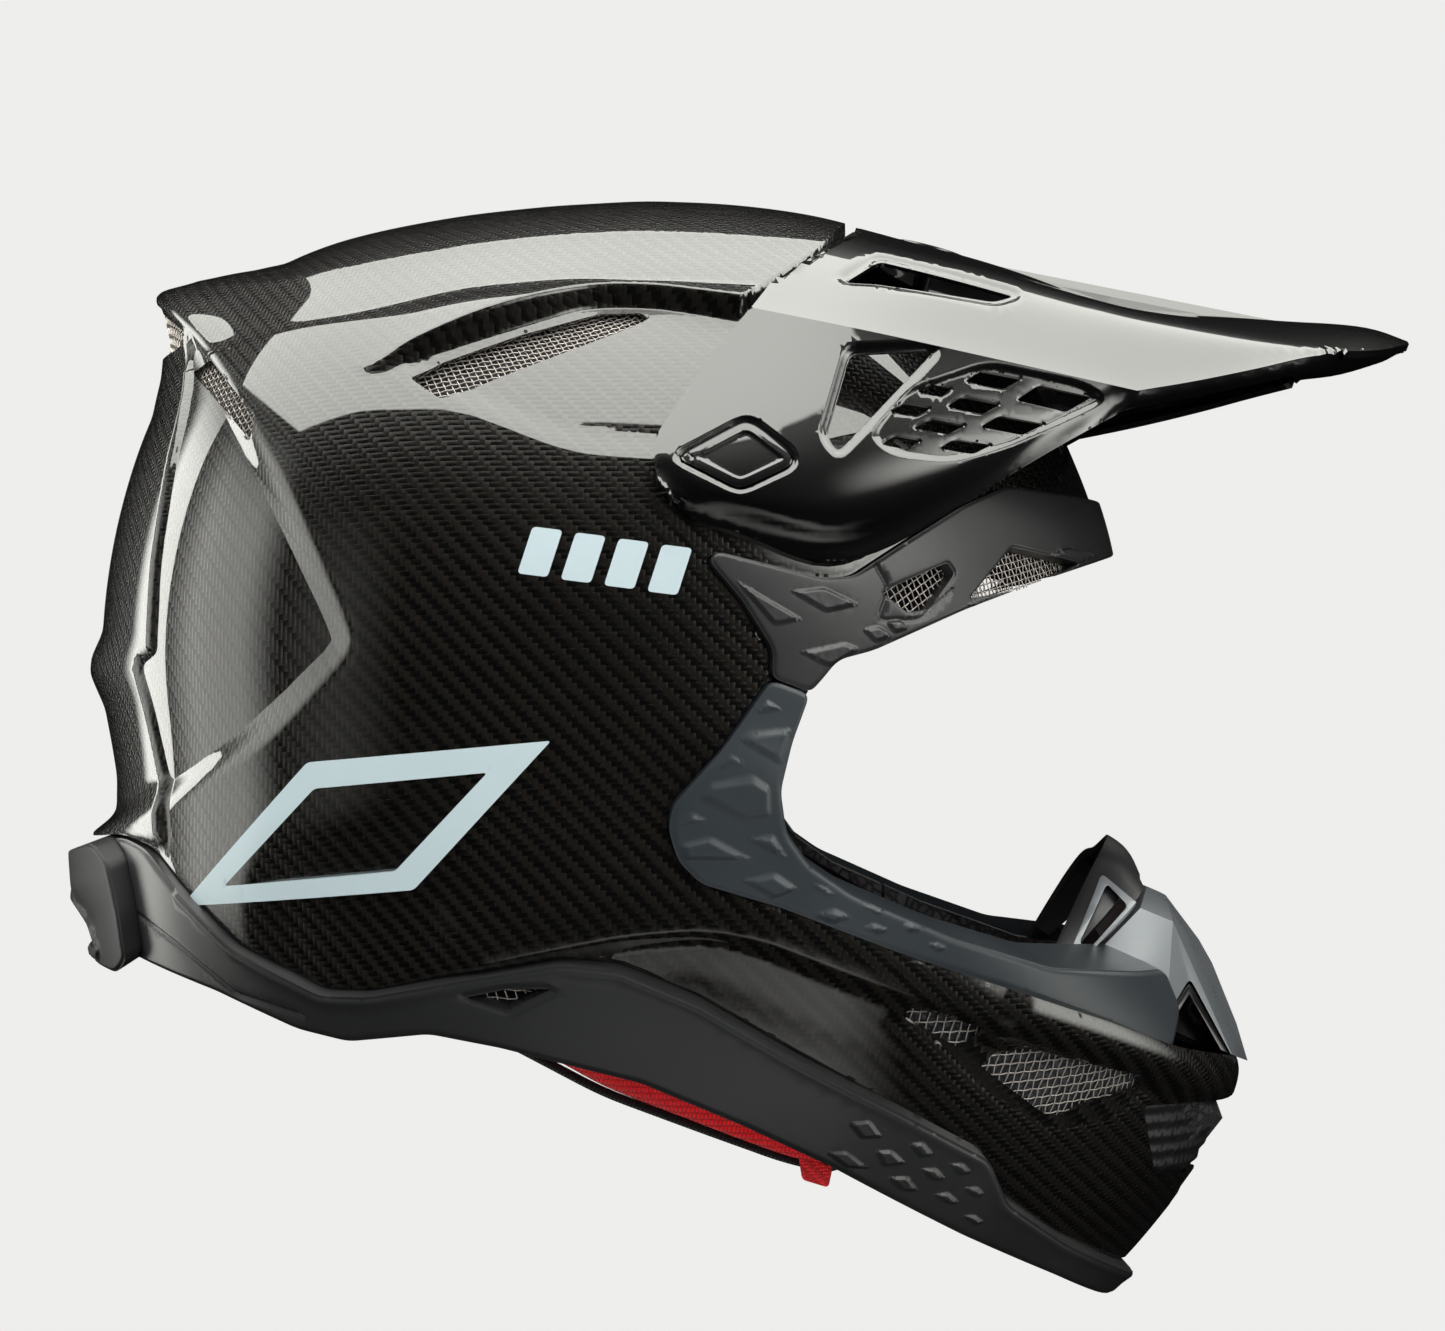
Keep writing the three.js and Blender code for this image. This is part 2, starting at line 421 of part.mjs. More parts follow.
const dRing = (y, z) => {
  const [w, h, r] = [STRAP.width + 1, 20, 1.6];
  const loop = new THREE.Shape([[-w / 2 - 2 * r, -r], [w / 2 + 2 * r, -r], [w / 2 + 2 * r, 6], [w / 4, h - 5], [-w / 4, h - 5], [-w / 2 - 2 * r, 6]].map((p) => new THREE.Vector2(...p)));
  const hole = [[-w / 2, r], [w / 2, r], [w / 2, 5], [w / 4 - 1, h - 5 - 2 * r], [-w / 4 + 1, h - 5 - 2 * r], [-w / 2, 5]];
  loop.holes.push(new THREE.Path(hole.map((p) => new THREE.Vector2(...p))));
  const geometry = new THREE.ExtrudeGeometry(loop, { depth: 2.4, bevelEnabled: false }).translate(0, 0, -1.2);
  const tilt = new THREE.Matrix4().makeRotationX(THREE.MathUtils.degToRad(-28)).setPosition(STRAP.x, y, z);
  return solid(geometry.applyMatrix4(tilt));
};
place("d_ring_front", dRing(-27.5, -96), 0xb0b0b2, 0.25, 0.95);
place("d_ring_rear", dRing(-27.5, -99.5), 0xb0b0b2, 0.25, 0.95);

// ---------------------------------------------------------------- peak
const rail = (points) => new THREE.CatmullRomCurve3(points.map((p) => new THREE.Vector3(...p)), false, "centripetal");
// Rails of the right half from the centre outwards, each as a rear stretch up to the wing's front corner and the rest to the tip.
const RAILS = [
  [[[77, 0, 125.5], [110, 0, 117], [136, 0, 108.5]], [[136, 0, 108.5], [150, 0, 104], [190, 0, 100], [222, 0, 97.5], [234, 0, 93]]],
  [[[76, -40, 122], [108, -42, 113], [134, -42, 105]], [[134, -42, 105], [150, -41, 101], [190, -36, 97], [219, -32, 94.5], [230, -30, 91.5]]],
  [[[68, -68, 115], [100, -76, 108.5], [136, -76, 99]], [[136, -76, 99], [150, -75, 96], [178, -70, 91.5], [200, -62, 89], [212, -56, 88]]],
  [[[43, -100, 97], [78, -106, 89.5], [148, -98, 74.5]], [[148, -98, 74.5], [164, -90, 77.5], [182, -80, 81.5], [198, -68, 85.5], [209, -58, 87]]],
  [[[17.5, -124, 58], [64, -123, 55.5], [147, -97.5, 72]], [[147, -97.5, 72], [163, -89, 75], [181, -79, 79], [197, -67, 83], [208, -56.5, 85]]],
  [[[20, -124.5, 50], [64, -121, 29], [146, -96, 69.5]], [[146, -96, 69.5], [162, -87, 72.5], [180, -77, 76.5], [196, -65, 80.5], [207, -54.5, 83]]],
];
const REAR_STEPS = 7;
const FRONT_STEPS = 6;
const railPoints = RAILS.map(([rear, front], k) => {
  const first = k < 4 ? rear : rear.slice(0, 3);
  const lowerEdge = [[20, -124.5, 48], [28, -124.5, 40], [39, -124, 35.5], [56, -122.5, 29], [66, -121, 27.5], [79, -118, 31], [102, -112, 44.5], [130.5, -104, 61.5], [146, -96, 69.5]];
  const a = rail(k === 5 ? lowerEdge : first).getSpacedPoints(REAR_STEPS);
  const b = rail(front).getSpacedPoints(FRONT_STEPS).slice(1);
  return [...a, ...b];
});
const peakGrid = railPoints[0].map((_, i) => {
  const right = railPoints.map((line) => line[i]).reverse();
  const left = railPoints.slice(1).map((line) => new THREE.Vector3(line[i].x, -line[i].y, line[i].z));
  return [...right, ...left];
});
const DIAMONDS = [
  [109, 77.5, 16, 5.2], [125.5, 72.5, 21, 7.4], [93, 74.5, 10, 3.6], [103.5, 70.5, 15, 5], [86, 69, 11.5, 3.5], [94, 64.5, 14.5, 4.2],
  [114, 65, 18, 5.4], [83.5, 60, 11, 3.5], [101, 59, 14.5, 4.4],
];
const diamond = ([x, z, w, h]) => [[x - w / 2, z - 0.5], [x - w * 0.2, z + h / 2], [x + w / 2, z + 0.5], [x + w * 0.15, z - h / 2]];
const SCOOP = [[70, 84.5], [93, 85.5], [66.5, 57.5], [63.5, 62]];
const SLOT = [[69, 106], [79, 113], [116, 102.5], [110, 100.5], [78, 105.5]];
const CAP = [[23.5, 55.5], [41, 65], [44, 64.5], [54, 56.5], [54, 53.5], [41.5, 47.5], [39, 47.5]];
let peak = slab(peakGrid, 0, -PEAK_SKIN);
DIAMONDS.forEach((d) => {
  peak = peak.subtract(prism(diamond(d)));
});
const slotSide = prism(SLOT, -90, -56);
peak = peak.subtract(prism(SCOOP)).subtract(slotSide).subtract(slotSide.mirror([0, 1, 0]));
const capPocket = slab(peakGrid, 3, -1.6).intersect(prism(grown(CAP, GAP)).subtract(prism(CAP, -60, 60)));
peak = peak.subtract(capPocket);
peak = peak.subtract(cylinderY(PIVOT.stud + GAP, -200, -90, PIVOT.x, PIVOT.z)).subtract(cylinderY(PIVOT.stud + GAP, 90, 200, PIVOT.x, PIVOT.z));
const SCREW = new THREE.Vector3(96, 0, 120.9);
const screwTilt = THREE.MathUtils.degToRad(15);
const onScrew = (shape) => {
  const m = new THREE.Matrix4().makeRotationY(screwTilt).setPosition(SCREW);
  return shape.transform(m.elements);
};
const disc = (radius, z0, z1, sides = 16) =>
  solid(new THREE.CylinderGeometry(radius, radius, z1 - z0, sides).rotateX(Math.PI / 2).translate(0, 0, (z0 + z1) / 2));
const dish = onScrew(disc(10.6, -4.4, -0.6));
const dishInside = onScrew(disc(9.2, -3.2, 6));
peak = peak.add(dish).subtract(dishInside).subtract(onScrew(disc(2.9, -20, 6)));
place("peak", peak, 0x0b0b0c, 0.12, 0);
placePair("peak_pivot_cap", slab(peakGrid, 0, -1.2).intersect(rightOnly(CAP)), 0x0b0b0c, 0.12, 0);
const studTop = 119.6;
placePair(
  "peak_pivot_stud",
  cylinderY(PIVOT.stud, -studTop, -107, PIVOT.x, PIVOT.z).add(cylinderY(PIVOT.stud + 3, -107.2, -105, PIVOT.x, PIVOT.z)),
  0x9a9a9c, 0.3, 0.9,
);
const screwShape = disc(8.4, -2.8, -0.2).add(disc(2.5, -17, -2.6)).subtract(disc(2.6, -1.2, 1, 6));
place("peak_screw", onScrew(screwShape), 0x161617, 0.4, 0.2);
place("peak_screw_nut", onScrew(disc(6.5, -16.4, -14.4, 6).subtract(disc(2.9, -20, -10))), 0x8f8f91, 0.35, 0.9);

export default group;
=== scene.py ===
# Motocross helmet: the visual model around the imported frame.
# Lengths are in millimetres until a mesh is made, and in the frame's metres from there on.
# +X is the way the wearer looks, +Y the wearer's left, +Z up, and the origin is the centre of the head form.
import math

import bmesh
import bpy
import numpy as np
from mathutils import Matrix, Vector
from mathutils.kdtree import KDTree
from mathutils.geometry import delaunay_2d_cdt


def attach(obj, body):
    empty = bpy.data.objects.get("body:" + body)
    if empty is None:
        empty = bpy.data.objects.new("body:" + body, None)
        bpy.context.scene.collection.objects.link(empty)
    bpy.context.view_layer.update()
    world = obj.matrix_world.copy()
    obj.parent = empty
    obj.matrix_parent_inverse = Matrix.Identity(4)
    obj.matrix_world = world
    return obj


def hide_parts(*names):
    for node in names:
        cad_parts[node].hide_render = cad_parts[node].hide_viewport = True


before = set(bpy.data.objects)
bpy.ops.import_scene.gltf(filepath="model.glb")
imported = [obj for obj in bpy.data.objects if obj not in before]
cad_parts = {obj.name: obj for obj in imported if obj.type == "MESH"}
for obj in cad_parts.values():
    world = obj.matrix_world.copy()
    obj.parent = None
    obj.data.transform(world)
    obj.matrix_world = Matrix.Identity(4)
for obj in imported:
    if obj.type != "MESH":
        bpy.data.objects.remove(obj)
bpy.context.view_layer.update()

MM = 0.001

# ---------------------------------------------------------------- driving dimensions, as in the frame
HALF_WIDTH = 126
ROUNDNESS = 2.5  # exponent of the shell's rounded cross-sections
SHELL = 2.8
TRIM_OUT = 2.6  # the rubber trims stand this far out from the shell's face
RAISE = 6  # and the upper shell rises this far towards the peak
SCREW = (96, 0, 120.9)
SCREW_TILT = math.radians(15)
STRAP_X = -20
STRAP_WIDTH = 24


def linked(name, data):
    """An object of that mesh, lamp or camera, in the scene."""
    thing = bpy.data.objects.new(name, data)
    bpy.context.scene.collection.objects.link(thing)
    return thing


# ---------------------------------------------------------------- camera
CAMERA_DISTANCE = 1.5
FIELD_WIDTH = 0.41905  # width of the view at the mid-plane
CENTRE_X = 0.03553
SENSOR = 36


def make_camera():
    data = bpy.data.cameras.new("photo_camera")
    data.sensor_width = SENSOR
    data.lens = SENSOR * CAMERA_DISTANCE / FIELD_WIDTH
    data.clip_start = 0.05
    data.clip_end = 50
    camera = linked("photo_camera", data)
    camera.location = (CENTRE_X, -CAMERA_DISTANCE, 0)
    camera.rotation_euler = (math.pi / 2, 0, 0)
    bpy.context.scene.camera = camera


make_camera()


# ---------------------------------------------------------------- outlines in side view, [x, z]
BASE_TOP = [
    (-144, -49), (-130, -47), (-123, -50), (-112, -61.5), (-97, -75.5), (-87, -81), (-72, -88), (-59, -88),
    (-32, -83), (-8, -79), (8, -80.5), (29.5, -89.5), (56.5, -105.5), (83.5, -120), (107.5, -134),
    (113, -147), (130, -160), (154, -174),
]
BASE_BOTTOM = [
    (-145, -76), (-131, -79), (-102, -88), (-79, -97.5), (-65, -100.5), (-43, -98), (-24, -101.5),
    (13.5, -111), (40, -122.5), (64.5, -134.5), (101, -155.5), (127.5, -169.5), (145.5, -180),
]
BROW = [
    (31.5, 27.5), (33.5, 30), (61.5, 23), (69.5, 23.5), (84, 33), (100, 43), (112, 48.5), (130, 47),
    (152, 46), (156, 34), (146, 31), (120, 22.5), (100, 15), (75, 4), (65.5, 1.5), (60.5, -4.5), (58, -7),
    (48, -3.2), (48.5, 4), (40, 17.5),
]
GASKET = [
    (48, -3.8), (58, -7.6), (53.5, -20), (50.5, -33), (52, -44), (58, -52.5), (69.5, -60.5), (97, -72.5),
    (124, -81.5), (150, -84), (185, -84), (178, -112), (160, -106.5), (139.5, -97.5), (111, -86.5),
    (83, -76.5), (51, -64), (29.5, -57.5), (23.5, -51.5), (21, -43.5), (22, -37), (35, -22.5),
]
EYE_PORT = [
    (230, 30), (156, 34), (146, 31), (120, 22.5), (100, 15), (75, 4), (65.5, 1.5), (60.5, -4.5), (58, -7.3),
    (53.5, -20), (50.5, -33), (52, -44), (58, -52.5), (69.5, -60.5), (97, -72.5), (124, -81.5), (150, -84),
    (230, -84),
]
PEAK_REAR = [(12, 66), (17.5, 62), (24, 71.5), (33.5, 85), (43, 97.5), (54, 105), (65, 112.5), (74, 126)]
SCREW_SLOT = [(81, 113.5), (104, 104), (104, 126), (81, 126)]
TOP_VENT = [
    (-49, 78), (-40.5, 72), (-24.5, 79), (13, 94.5), (15.5, 96.5), (13, 98), (2, 97.5), (-19.5, 91),
    (-41, 83),
]
REAR_VENT_UPPER = [(-125.5, 97), (-122.5, 98), (-112.5, 91), (-115, 88), (-123.5, 85)]
REAR_VENT_LOWER = [(-114, 82.5), (-108, 86), (-97, 73.5), (-92.5, 68), (-94.5, 62)]
CHIN_VENT_REAR = [(84.5, -95), (87, -92), (108, -99), (105, -102.5), (100.5, -105)]
CHIN_VENT_FRONT = [
    (107, -110.5), (111, -107), (119.5, -105), (151.5, -114), (153.5, -119), (137.5, -123), (130.5, -126),
    (125.5, -125),
]
BASE_VENT = [(-33, -88), (-21.5, -85.5), (-10, -85.5), (-22, -91.5)]
BROW_VENTS = [
    [(77, 19.5), (95, 27.5), (97, 24.5), (90, 15), (84, 14)],
    [(101, 18), (113, 32), (133, 28), (119, 21)],
]
BELOW_BASE = BASE_TOP + [(290, -174), (290, -340), (-290, -340), (-290, -49)]

# ---------------------------------------------------------------- the shell's outer face
# The side profile as (degrees from +X towards +Z, millimetres from the origin), and what stands out over the
# rear centre, by the same angle.
PROFILE = [
    (-250, 135.5), (-240, 142.5), (-230, 148.5), (-220, 150.5), (-210, 149), (-200, 146.5), (-190, 145),
    (-180, 144.5), (-170, 144), (-160, 149), (-150, 160), (-135, 174), (-120, 185), (-105, 195), (-90, 205),
    (-75, 215), (-60, 228), (-51, 233), (-46, 230), (-41, 228), (-36, 228), (-34, 224), (-31, 208),
    (-27, 188), (-23, 173), (-18, 162), (-12, 155), (-4, 150), (5, 149), (15, 149.5), (24, 149), (32, 150),
    (41, 149.5), (50, 146.5), (60, 140.5), (70, 134), (80, 129.4), (90, 127.6), (100, 130),
]
REAR_RELIEF = [
    (-232, 0), (-229, 3), (-225, 9), (-220.5, 17), (-219.3, 17), (-217, 9), (-213, 3), (-209, 0), (-184, 0),
    (-181, 3.5), (-179, 4), (-175, 0), (-167, -2), (-163, -1), (-161, 5), (-157, 5), (-153, 0),
]
RELIEF_BAND = math.radians(34)
TABLE_START, TABLE_STEP = -255, 0.25


def smoothstep(low, high, value):
    t = np.clip((value - low) / (high - low), 0, 1)
    return t * t * (3 - 2 * t)


def unit(vectors):
    """The rows at length 1."""
    return vectors / np.maximum(np.linalg.norm(vectors, axis=1, keepdims=True), 1e-12)


def cubic_weights(f):
    """The weights of four neighbours in a row, at the fraction f between the middle two."""
    return [0.5 * (-f + 2 * f * f - f ** 3), 0.5 * (2 - 5 * f * f + 3 * f ** 3),
            0.5 * (f + 4 * f * f - 3 * f ** 3), 0.5 * (-f * f + f ** 3)]


def blurred(values, sigma):
    """A closed table of values, blurred by sigma rows."""
    spectrum = np.fft.rfft(values)
    wave = np.arange(len(spectrum)) * 2 * math.pi / len(values)
    return np.fft.irfft(spectrum * np.exp(-0.5 * (wave * sigma) ** 2), len(values))


def polar_table(rows, sigma_degrees, closed):
    """The rows as values at every TABLE_STEP of a full turn, smoothed. An open table is 0 beyond its rows."""
    angles = TABLE_START + np.arange(0, 360, TABLE_STEP)
    a, r = (np.array(column, float) for column in zip(*rows))
    if closed:
        fine = np.interp(angles, np.concatenate([a - 360, a, a + 360]), np.tile(r, 3))
    else:
        fine = np.interp(angles, a, r, left=0, right=0)
    return blurred(fine, sigma_degrees / TABLE_STEP)


RADIUS_TABLE = polar_table(PROFILE, 3.2, True)
RELIEF_TABLE = polar_table(REAR_RELIEF, 0.45, False)


def look_up(table, radians):
    """Cubic look-up in a closed table."""
    at = ((np.degrees(radians) - TABLE_START) % 360) / TABLE_STEP
    i = np.floor(at).astype(int)
    t = at - i
    count = len(table)
    p0, p1, p2, p3 = (table[(i + k) % count] for k in (-1, 0, 1, 2))
    return p1 + 0.5 * t * (p2 - p0 + t * (2 * p0 - 5 * p1 + 4 * p2 - p3 + t * (3 * (p1 - p2) + p3 - p0)))


def densified(points, step, closed=True):
    """The points with more between them, at most step apart."""
    out = []
    count = len(points)
    for i in range(count if closed else count - 1):
        a, b = np.array(points[i], float), np.array(points[(i + 1) % count], float)
        parts = max(1, math.ceil(np.linalg.norm(b - a) / step))
        out += [a + (b - a) * k / parts for k in range(parts)]
    if not closed:
        out.append(np.array(points[-1], float))
    return np.array(out)


def rounded(points, radius, step, closed=True):
    """The outline with its corners rounded: each gives way to a parabola that starts radius before it."""
    pts = [np.array(p, float) for p in points]
    count = len(pts)
    out = []
    for i, p in enumerate(pts):
        if not closed and i in (0, count - 1):
            out.append(p)
            continue
        a, b = pts[i - 1], pts[(i + 1) % count]
        da, db = np.linalg.norm(a - p), np.linalg.norm(b - p)
        start = p + (a - p) * min(radius / da, 0.46)
        end = p + (b - p) * min(radius / db, 0.46)
        out += [(1 - t) ** 2 * start + 2 * t * (1 - t) * p + t * t * end for t in (0, 0.25, 0.5, 0.75, 1)]
    return densified(out, step, closed)


def moved_out(points, d):
    """A closed outline moved outwards by d. A doubled point comes out as NaN, which lies in no outline."""
    p = np.asarray(points, float)
    area = np.sum(p[:, 0] * np.roll(p[:, 1], -1) - np.roll(p[:, 0], -1) * p[:, 1])
    before, after = p - np.roll(p, 1, 0), np.roll(p, -1, 0) - p
    with np.errstate(invalid="ignore"):
        before /= np.linalg.norm(before, axis=1, keepdims=True)
        after /= np.linalg.norm(after, axis=1, keepdims=True)
        n = np.stack([before[:, 1] + after[:, 1], -before[:, 0] - after[:, 0]], 1) * np.sign(area)
        n /= np.linalg.norm(n, axis=1, keepdims=True)
        stretch = np.maximum(0.5, np.abs(n[:, 0] * before[:, 1] - n[:, 1] * before[:, 0]))[:, None]
        return p + n * d / stretch


PAIRS_AT_ONCE = 400000  # points times segments, so that the tables of distances stay small


def inside(points, outline):
    """Which points lie inside a closed outline."""
    a, b = outline, np.roll(outline, -1, 0)
    low, high = outline.min(0), outline.max(0)
    result = np.zeros(len(points), bool)
    near = np.flatnonzero(np.all((points > low) & (points < high), axis=1))
    for block in np.array_split(near, len(near) * len(a) // (10 * PAIRS_AT_ONCE) + 1):
        x, y = points[block, 0][:, None], points[block, 1][:, None]
        crosses = (a[:, 1] > y) != (b[:, 1] > y)
        with np.errstate(divide="ignore", invalid="ignore"):
            at = a[:, 0] + (y - a[:, 1]) * (b[:, 0] - a[:, 0]) / (b[:, 1] - a[:, 1])
        result[block] = np.count_nonzero(crosses & (x < at), axis=1) % 2 == 1
    return result


def distance(points, line, closed=True):
    """Distance from each point to a line of segments."""
    a = line if closed else line[:-1]
    b = np.roll(line, -1, 0) if closed else line[1:]
    ax, ay = a[:, 0], a[:, 1]
    bx, by = b[:, 0] - ax, b[:, 1] - ay
    length = np.maximum(bx * bx + by * by, 1e-12)
    bx_part, by_part, offset = bx / length, by / length, (ax * bx + ay * by) / length
    out = np.empty(len(points))
    for block in np.array_split(np.arange(len(points)), len(points) * len(a) // PAIRS_AT_ONCE + 1):
        x, y = points[block, 0][:, None], points[block, 1][:, None]
        t = np.clip(x * bx_part + y * by_part - offset, 0, 1)
        dx, dy = x - ax - t * bx, y - ay - t * by
        out[block] = np.sqrt((dx * dx + dy * dy).min(1))
    return out


def signed_distance(points, outline):
    """Distance to a closed outline, negative outside it."""
    return distance(points, outline) * np.where(inside(points, outline), 1, -1)


class Dome:
    """The shell's face as a disc: the centre is the side of the helmet, the rim the mid-plane."""

    rim = 210.0
    right_sign = 1.0

    def locate(self, xz):
        xz = np.asarray(xz, float)
        angle = np.arctan2(xz[:, 1], xz[:, 0])
        ratio = np.hypot(xz[:, 0], xz[:, 1]) / look_up(RADIUS_TABLE, angle)
        c = np.clip(ratio, 0, 1) ** (ROUNDNESS / 2)
        s = np.where(ratio < 1, 1 - np.arccos(c) * 2 / math.pi, 1 + (ratio - 1) * 1.5)
        return np.stack([s * np.cos(angle), s * np.sin(angle)], 1) * self.rim

    def point(self, uv, out=0.0):
        s = np.maximum(np.hypot(uv[:, 0], uv[:, 1]) / self.rim, 1e-6)
        angle = np.arctan2(uv[:, 1], uv[:, 0])
        section = (1 - s) * math.pi / 2
        c = np.maximum(np.cos(section), 0)
        fade = 1 - smoothstep(0, RELIEF_BAND, np.abs(section))
        r = (look_up(RADIUS_TABLE, angle) + out + fade * look_up(RELIEF_TABLE, angle)) * c ** (2 / ROUNDNESS)
        x, z = r * np.cos(angle), r * np.sin(angle)
        narrow = 1 - 0.26 * smoothstep(60, 190, x) * smoothstep(20, 90, -z)
        return np.stack([x, -(HALF_WIDTH + out) * np.sin(section) * narrow, z], 1)

    def cut(self):
        """The line on which the right half meets the left."""
        a = np.radians(np.arange(0, 360, 0.75))
        return np.stack([np.cos(a), np.sin(a)], 1) * self.rim

    def on_right(self, uv):
        return np.hypot(uv[:, 0], uv[:, 1]) < self.rim

    def on_cut(self, uv):
        return np.abs(np.hypot(uv[:, 0], uv[:, 1]) - self.rim) < 0.12

    def xz(self, uv):
        p = self.point(uv)
        return p[:, [0, 2]]

    def texture(self, uv):
        """True lengths from the side's centre outwards, for cloth that drapes over the dome."""
        s = np.maximum(np.hypot(uv[:, 0], uv[:, 1]) / self.rim, 1e-3)
        angle = np.arctan2(uv[:, 1], uv[:, 0])
        reach = look_up(RADIUS_TABLE, angle)
        steps = np.linspace(0, 1.2, 121)
        section = (1 - np.minimum(steps, 1)) * math.pi / 2
        across = np.diff(np.cos(section) ** (2 / ROUNDNESS))
        down = np.diff(HALF_WIDTH * np.sin(section))
        reaches = np.arange(60, 261, 10.0)
        runs = np.maximum(np.hypot(reaches[:, None] * across, down), 0.9)
        lengths = np.concatenate([np.zeros((len(reaches), 1)), np.cumsum(runs, 1)], 1)
        column = np.clip((reach - 60) / 10, 0, len(reaches) - 1.001)
        row = np.clip(s / 0.01, 0, len(steps) - 1.001)
        i, j = column.astype(int), row.astype(int)
        fi, fj = column - i, row - j
        length = ((lengths[i, j] * (1 - fi) + lengths[i + 1, j] * fi) * (1 - fj)
                  + (lengths[i, j + 1] * (1 - fi) + lengths[i + 1, j + 1] * fi) * fj)
        return np.stack([length * np.cos(angle), length * np.sin(angle)], 1)


class Relief:
    """Heights above a patch, kept on a fine grid over its domain."""

    def __init__(self, low, high, step):
        self.low, self.step = np.array(low, float), step
        self.shape = tuple(int((b - a) / step) + 1 for a, b in zip(low, high))
        self.grid = np.zeros(self.shape)

    def window(self, line, margin):
        """The part of the grid around a line: its slices, its points and its shape."""
        last = np.array(self.shape) - 1
        i0 = np.maximum(np.floor((line.min(0) - margin - self.low) / self.step).astype(int), 0)
        i1 = np.minimum(np.ceil((line.max(0) + margin - self.low) / self.step).astype(int), last)
        i1 = np.maximum(i1, i0)
        us, vs = np.arange(i0[0], i1[0] + 1), np.arange(i0[1], i1[1] + 1)
        grid = np.stack(np.meshgrid(us, vs, indexing="ij"), -1).reshape(-1, 2) * self.step + self.low
        return (slice(i0[0], i1[0] + 1), slice(i0[1], i1[1] + 1)), grid, (len(us), len(vs))

    def raise_inside(self, line, height, width, outer):
        """Raises what lies inside the closed line, over a slope of that width inwards and outer outwards."""
        part, points, shape = self.window(line, outer)
        self.grid[part] += (height * smoothstep(-outer, width, signed_distance(points, line))).reshape(shape)

    def ridge(self, line, height, width):
        """Raises a rounded ridge, or presses a groove, along the open line."""
        part, points, shape = self.window(line, width)
        self.grid[part] += (height * (1 - smoothstep(0, width, distance(points, line, False)))).reshape(shape)

    def sample(self, uv):
        at = (uv - self.low) / self.step
        i = np.floor(at).astype(int)
        weights = [cubic_weights((at - i)[:, k]) for k in (0, 1)]
        total = np.zeros(len(uv))
        for a in range(4):
            row = np.clip(i[:, 0] + a - 1, 0, self.shape[0] - 1)
            for b in range(4):
                column = np.clip(i[:, 1] + b - 1, 0, self.shape[1] - 1)
                total += weights[0][a] * weights[1][b] * self.grid[row, column]
        return total


def facing(at, uv, step, sign):
    """Normals of the surface at(), from its points a step to each side."""
    du = at(uv + [step, 0]) - at(uv - [step, 0])
    dv = at(uv + [0, step]) - at(uv - [0, step])
    return unit(np.cross(du, dv) * sign)


def surface(patch, uv, out, relief=None, edge=None, edge_radius=0.0):
    """Points and outward normals of a patch with its relief and its rounded edge."""

    def at(q):
        height = relief.sample(q) if relief is not None else np.zeros(len(q))
        if edge is not None:
            d = np.clip(edge(q) / edge_radius, 0, 1)
            height = height - 0.7 * edge_radius * (1 - d) ** 2
        normal = facing(lambda p: patch.point(p, out), q, 0.3, patch.right_sign)
        return patch.point(q, out) + normal * height[:, None]

    return at(uv), facing(at, uv, 0.12, patch.right_sign)


def triangulated(lines, keep, spacing, extra, box):
    """Triangles of the part of the domain that keep() accepts, following the lines."""
    points, edges = [], []
    for line, closed in lines:
        line = np.asarray(line)
        first = sum(len(p) for p in points)
        points.append(line)
        count = len(line)
        edges.extend((first + i, first + (i + 1) % count) for i in range(count if closed else count - 1))
    us = np.arange(box[0][0] - spacing, box[1][0] + spacing, spacing)
    vs = np.arange(box[0][1] - spacing, box[1][1] + spacing, spacing * 0.866)
    grid = np.array([(u + (k % 2) * spacing / 2, v) for k, v in enumerate(vs) for u in us])
    grid = np.concatenate([grid, *extra])
    grid = grid[keep(grid)]
    if len(grid):
        clearance = np.full(len(grid), 1e9)
        for line, closed in lines:
            clearance = np.minimum(clearance, distance(grid, np.asarray(line), closed))
        grid = grid[clearance > 0.3]
    flat = np.concatenate([*points, grid])
    result = delaunay_2d_cdt([Vector(p) for p in flat], edges, [], 0, 1e-4)
    uv = np.array([tuple(v) for v in result[0]])
    tris = np.array([f for f in result[2] if len(f) == 3])
    centre = uv[tris].mean(axis=1)
    tris = tris[keep(centre)]
    used, tris = np.unique(tris, return_inverse=True)
    uv, tris = uv[used], tris.reshape(-1, 3)
    a, b, c = uv[tris[:, 0]], uv[tris[:, 1]], uv[tris[:, 2]]
    area = (b[:, 0] - a[:, 0]) * (c[:, 1] - a[:, 1]) - (b[:, 1] - a[:, 1]) * (c[:, 0] - a[:, 0])
    flip = area < 0
    tris[flip] = tris[flip][:, ::-1]
    return uv, tris[np.abs(area) > 1e-7]


def rim_edges(tris):
    """The directed edges that only one triangle has."""
    edges = np.concatenate([tris[:, [0, 1]], tris[:, [1, 2]], tris[:, [2, 0]]])
    forward = {(int(a), int(b)) for a, b in edges}
    return [(a, b) for a, b in forward if (b, a) not in forward]


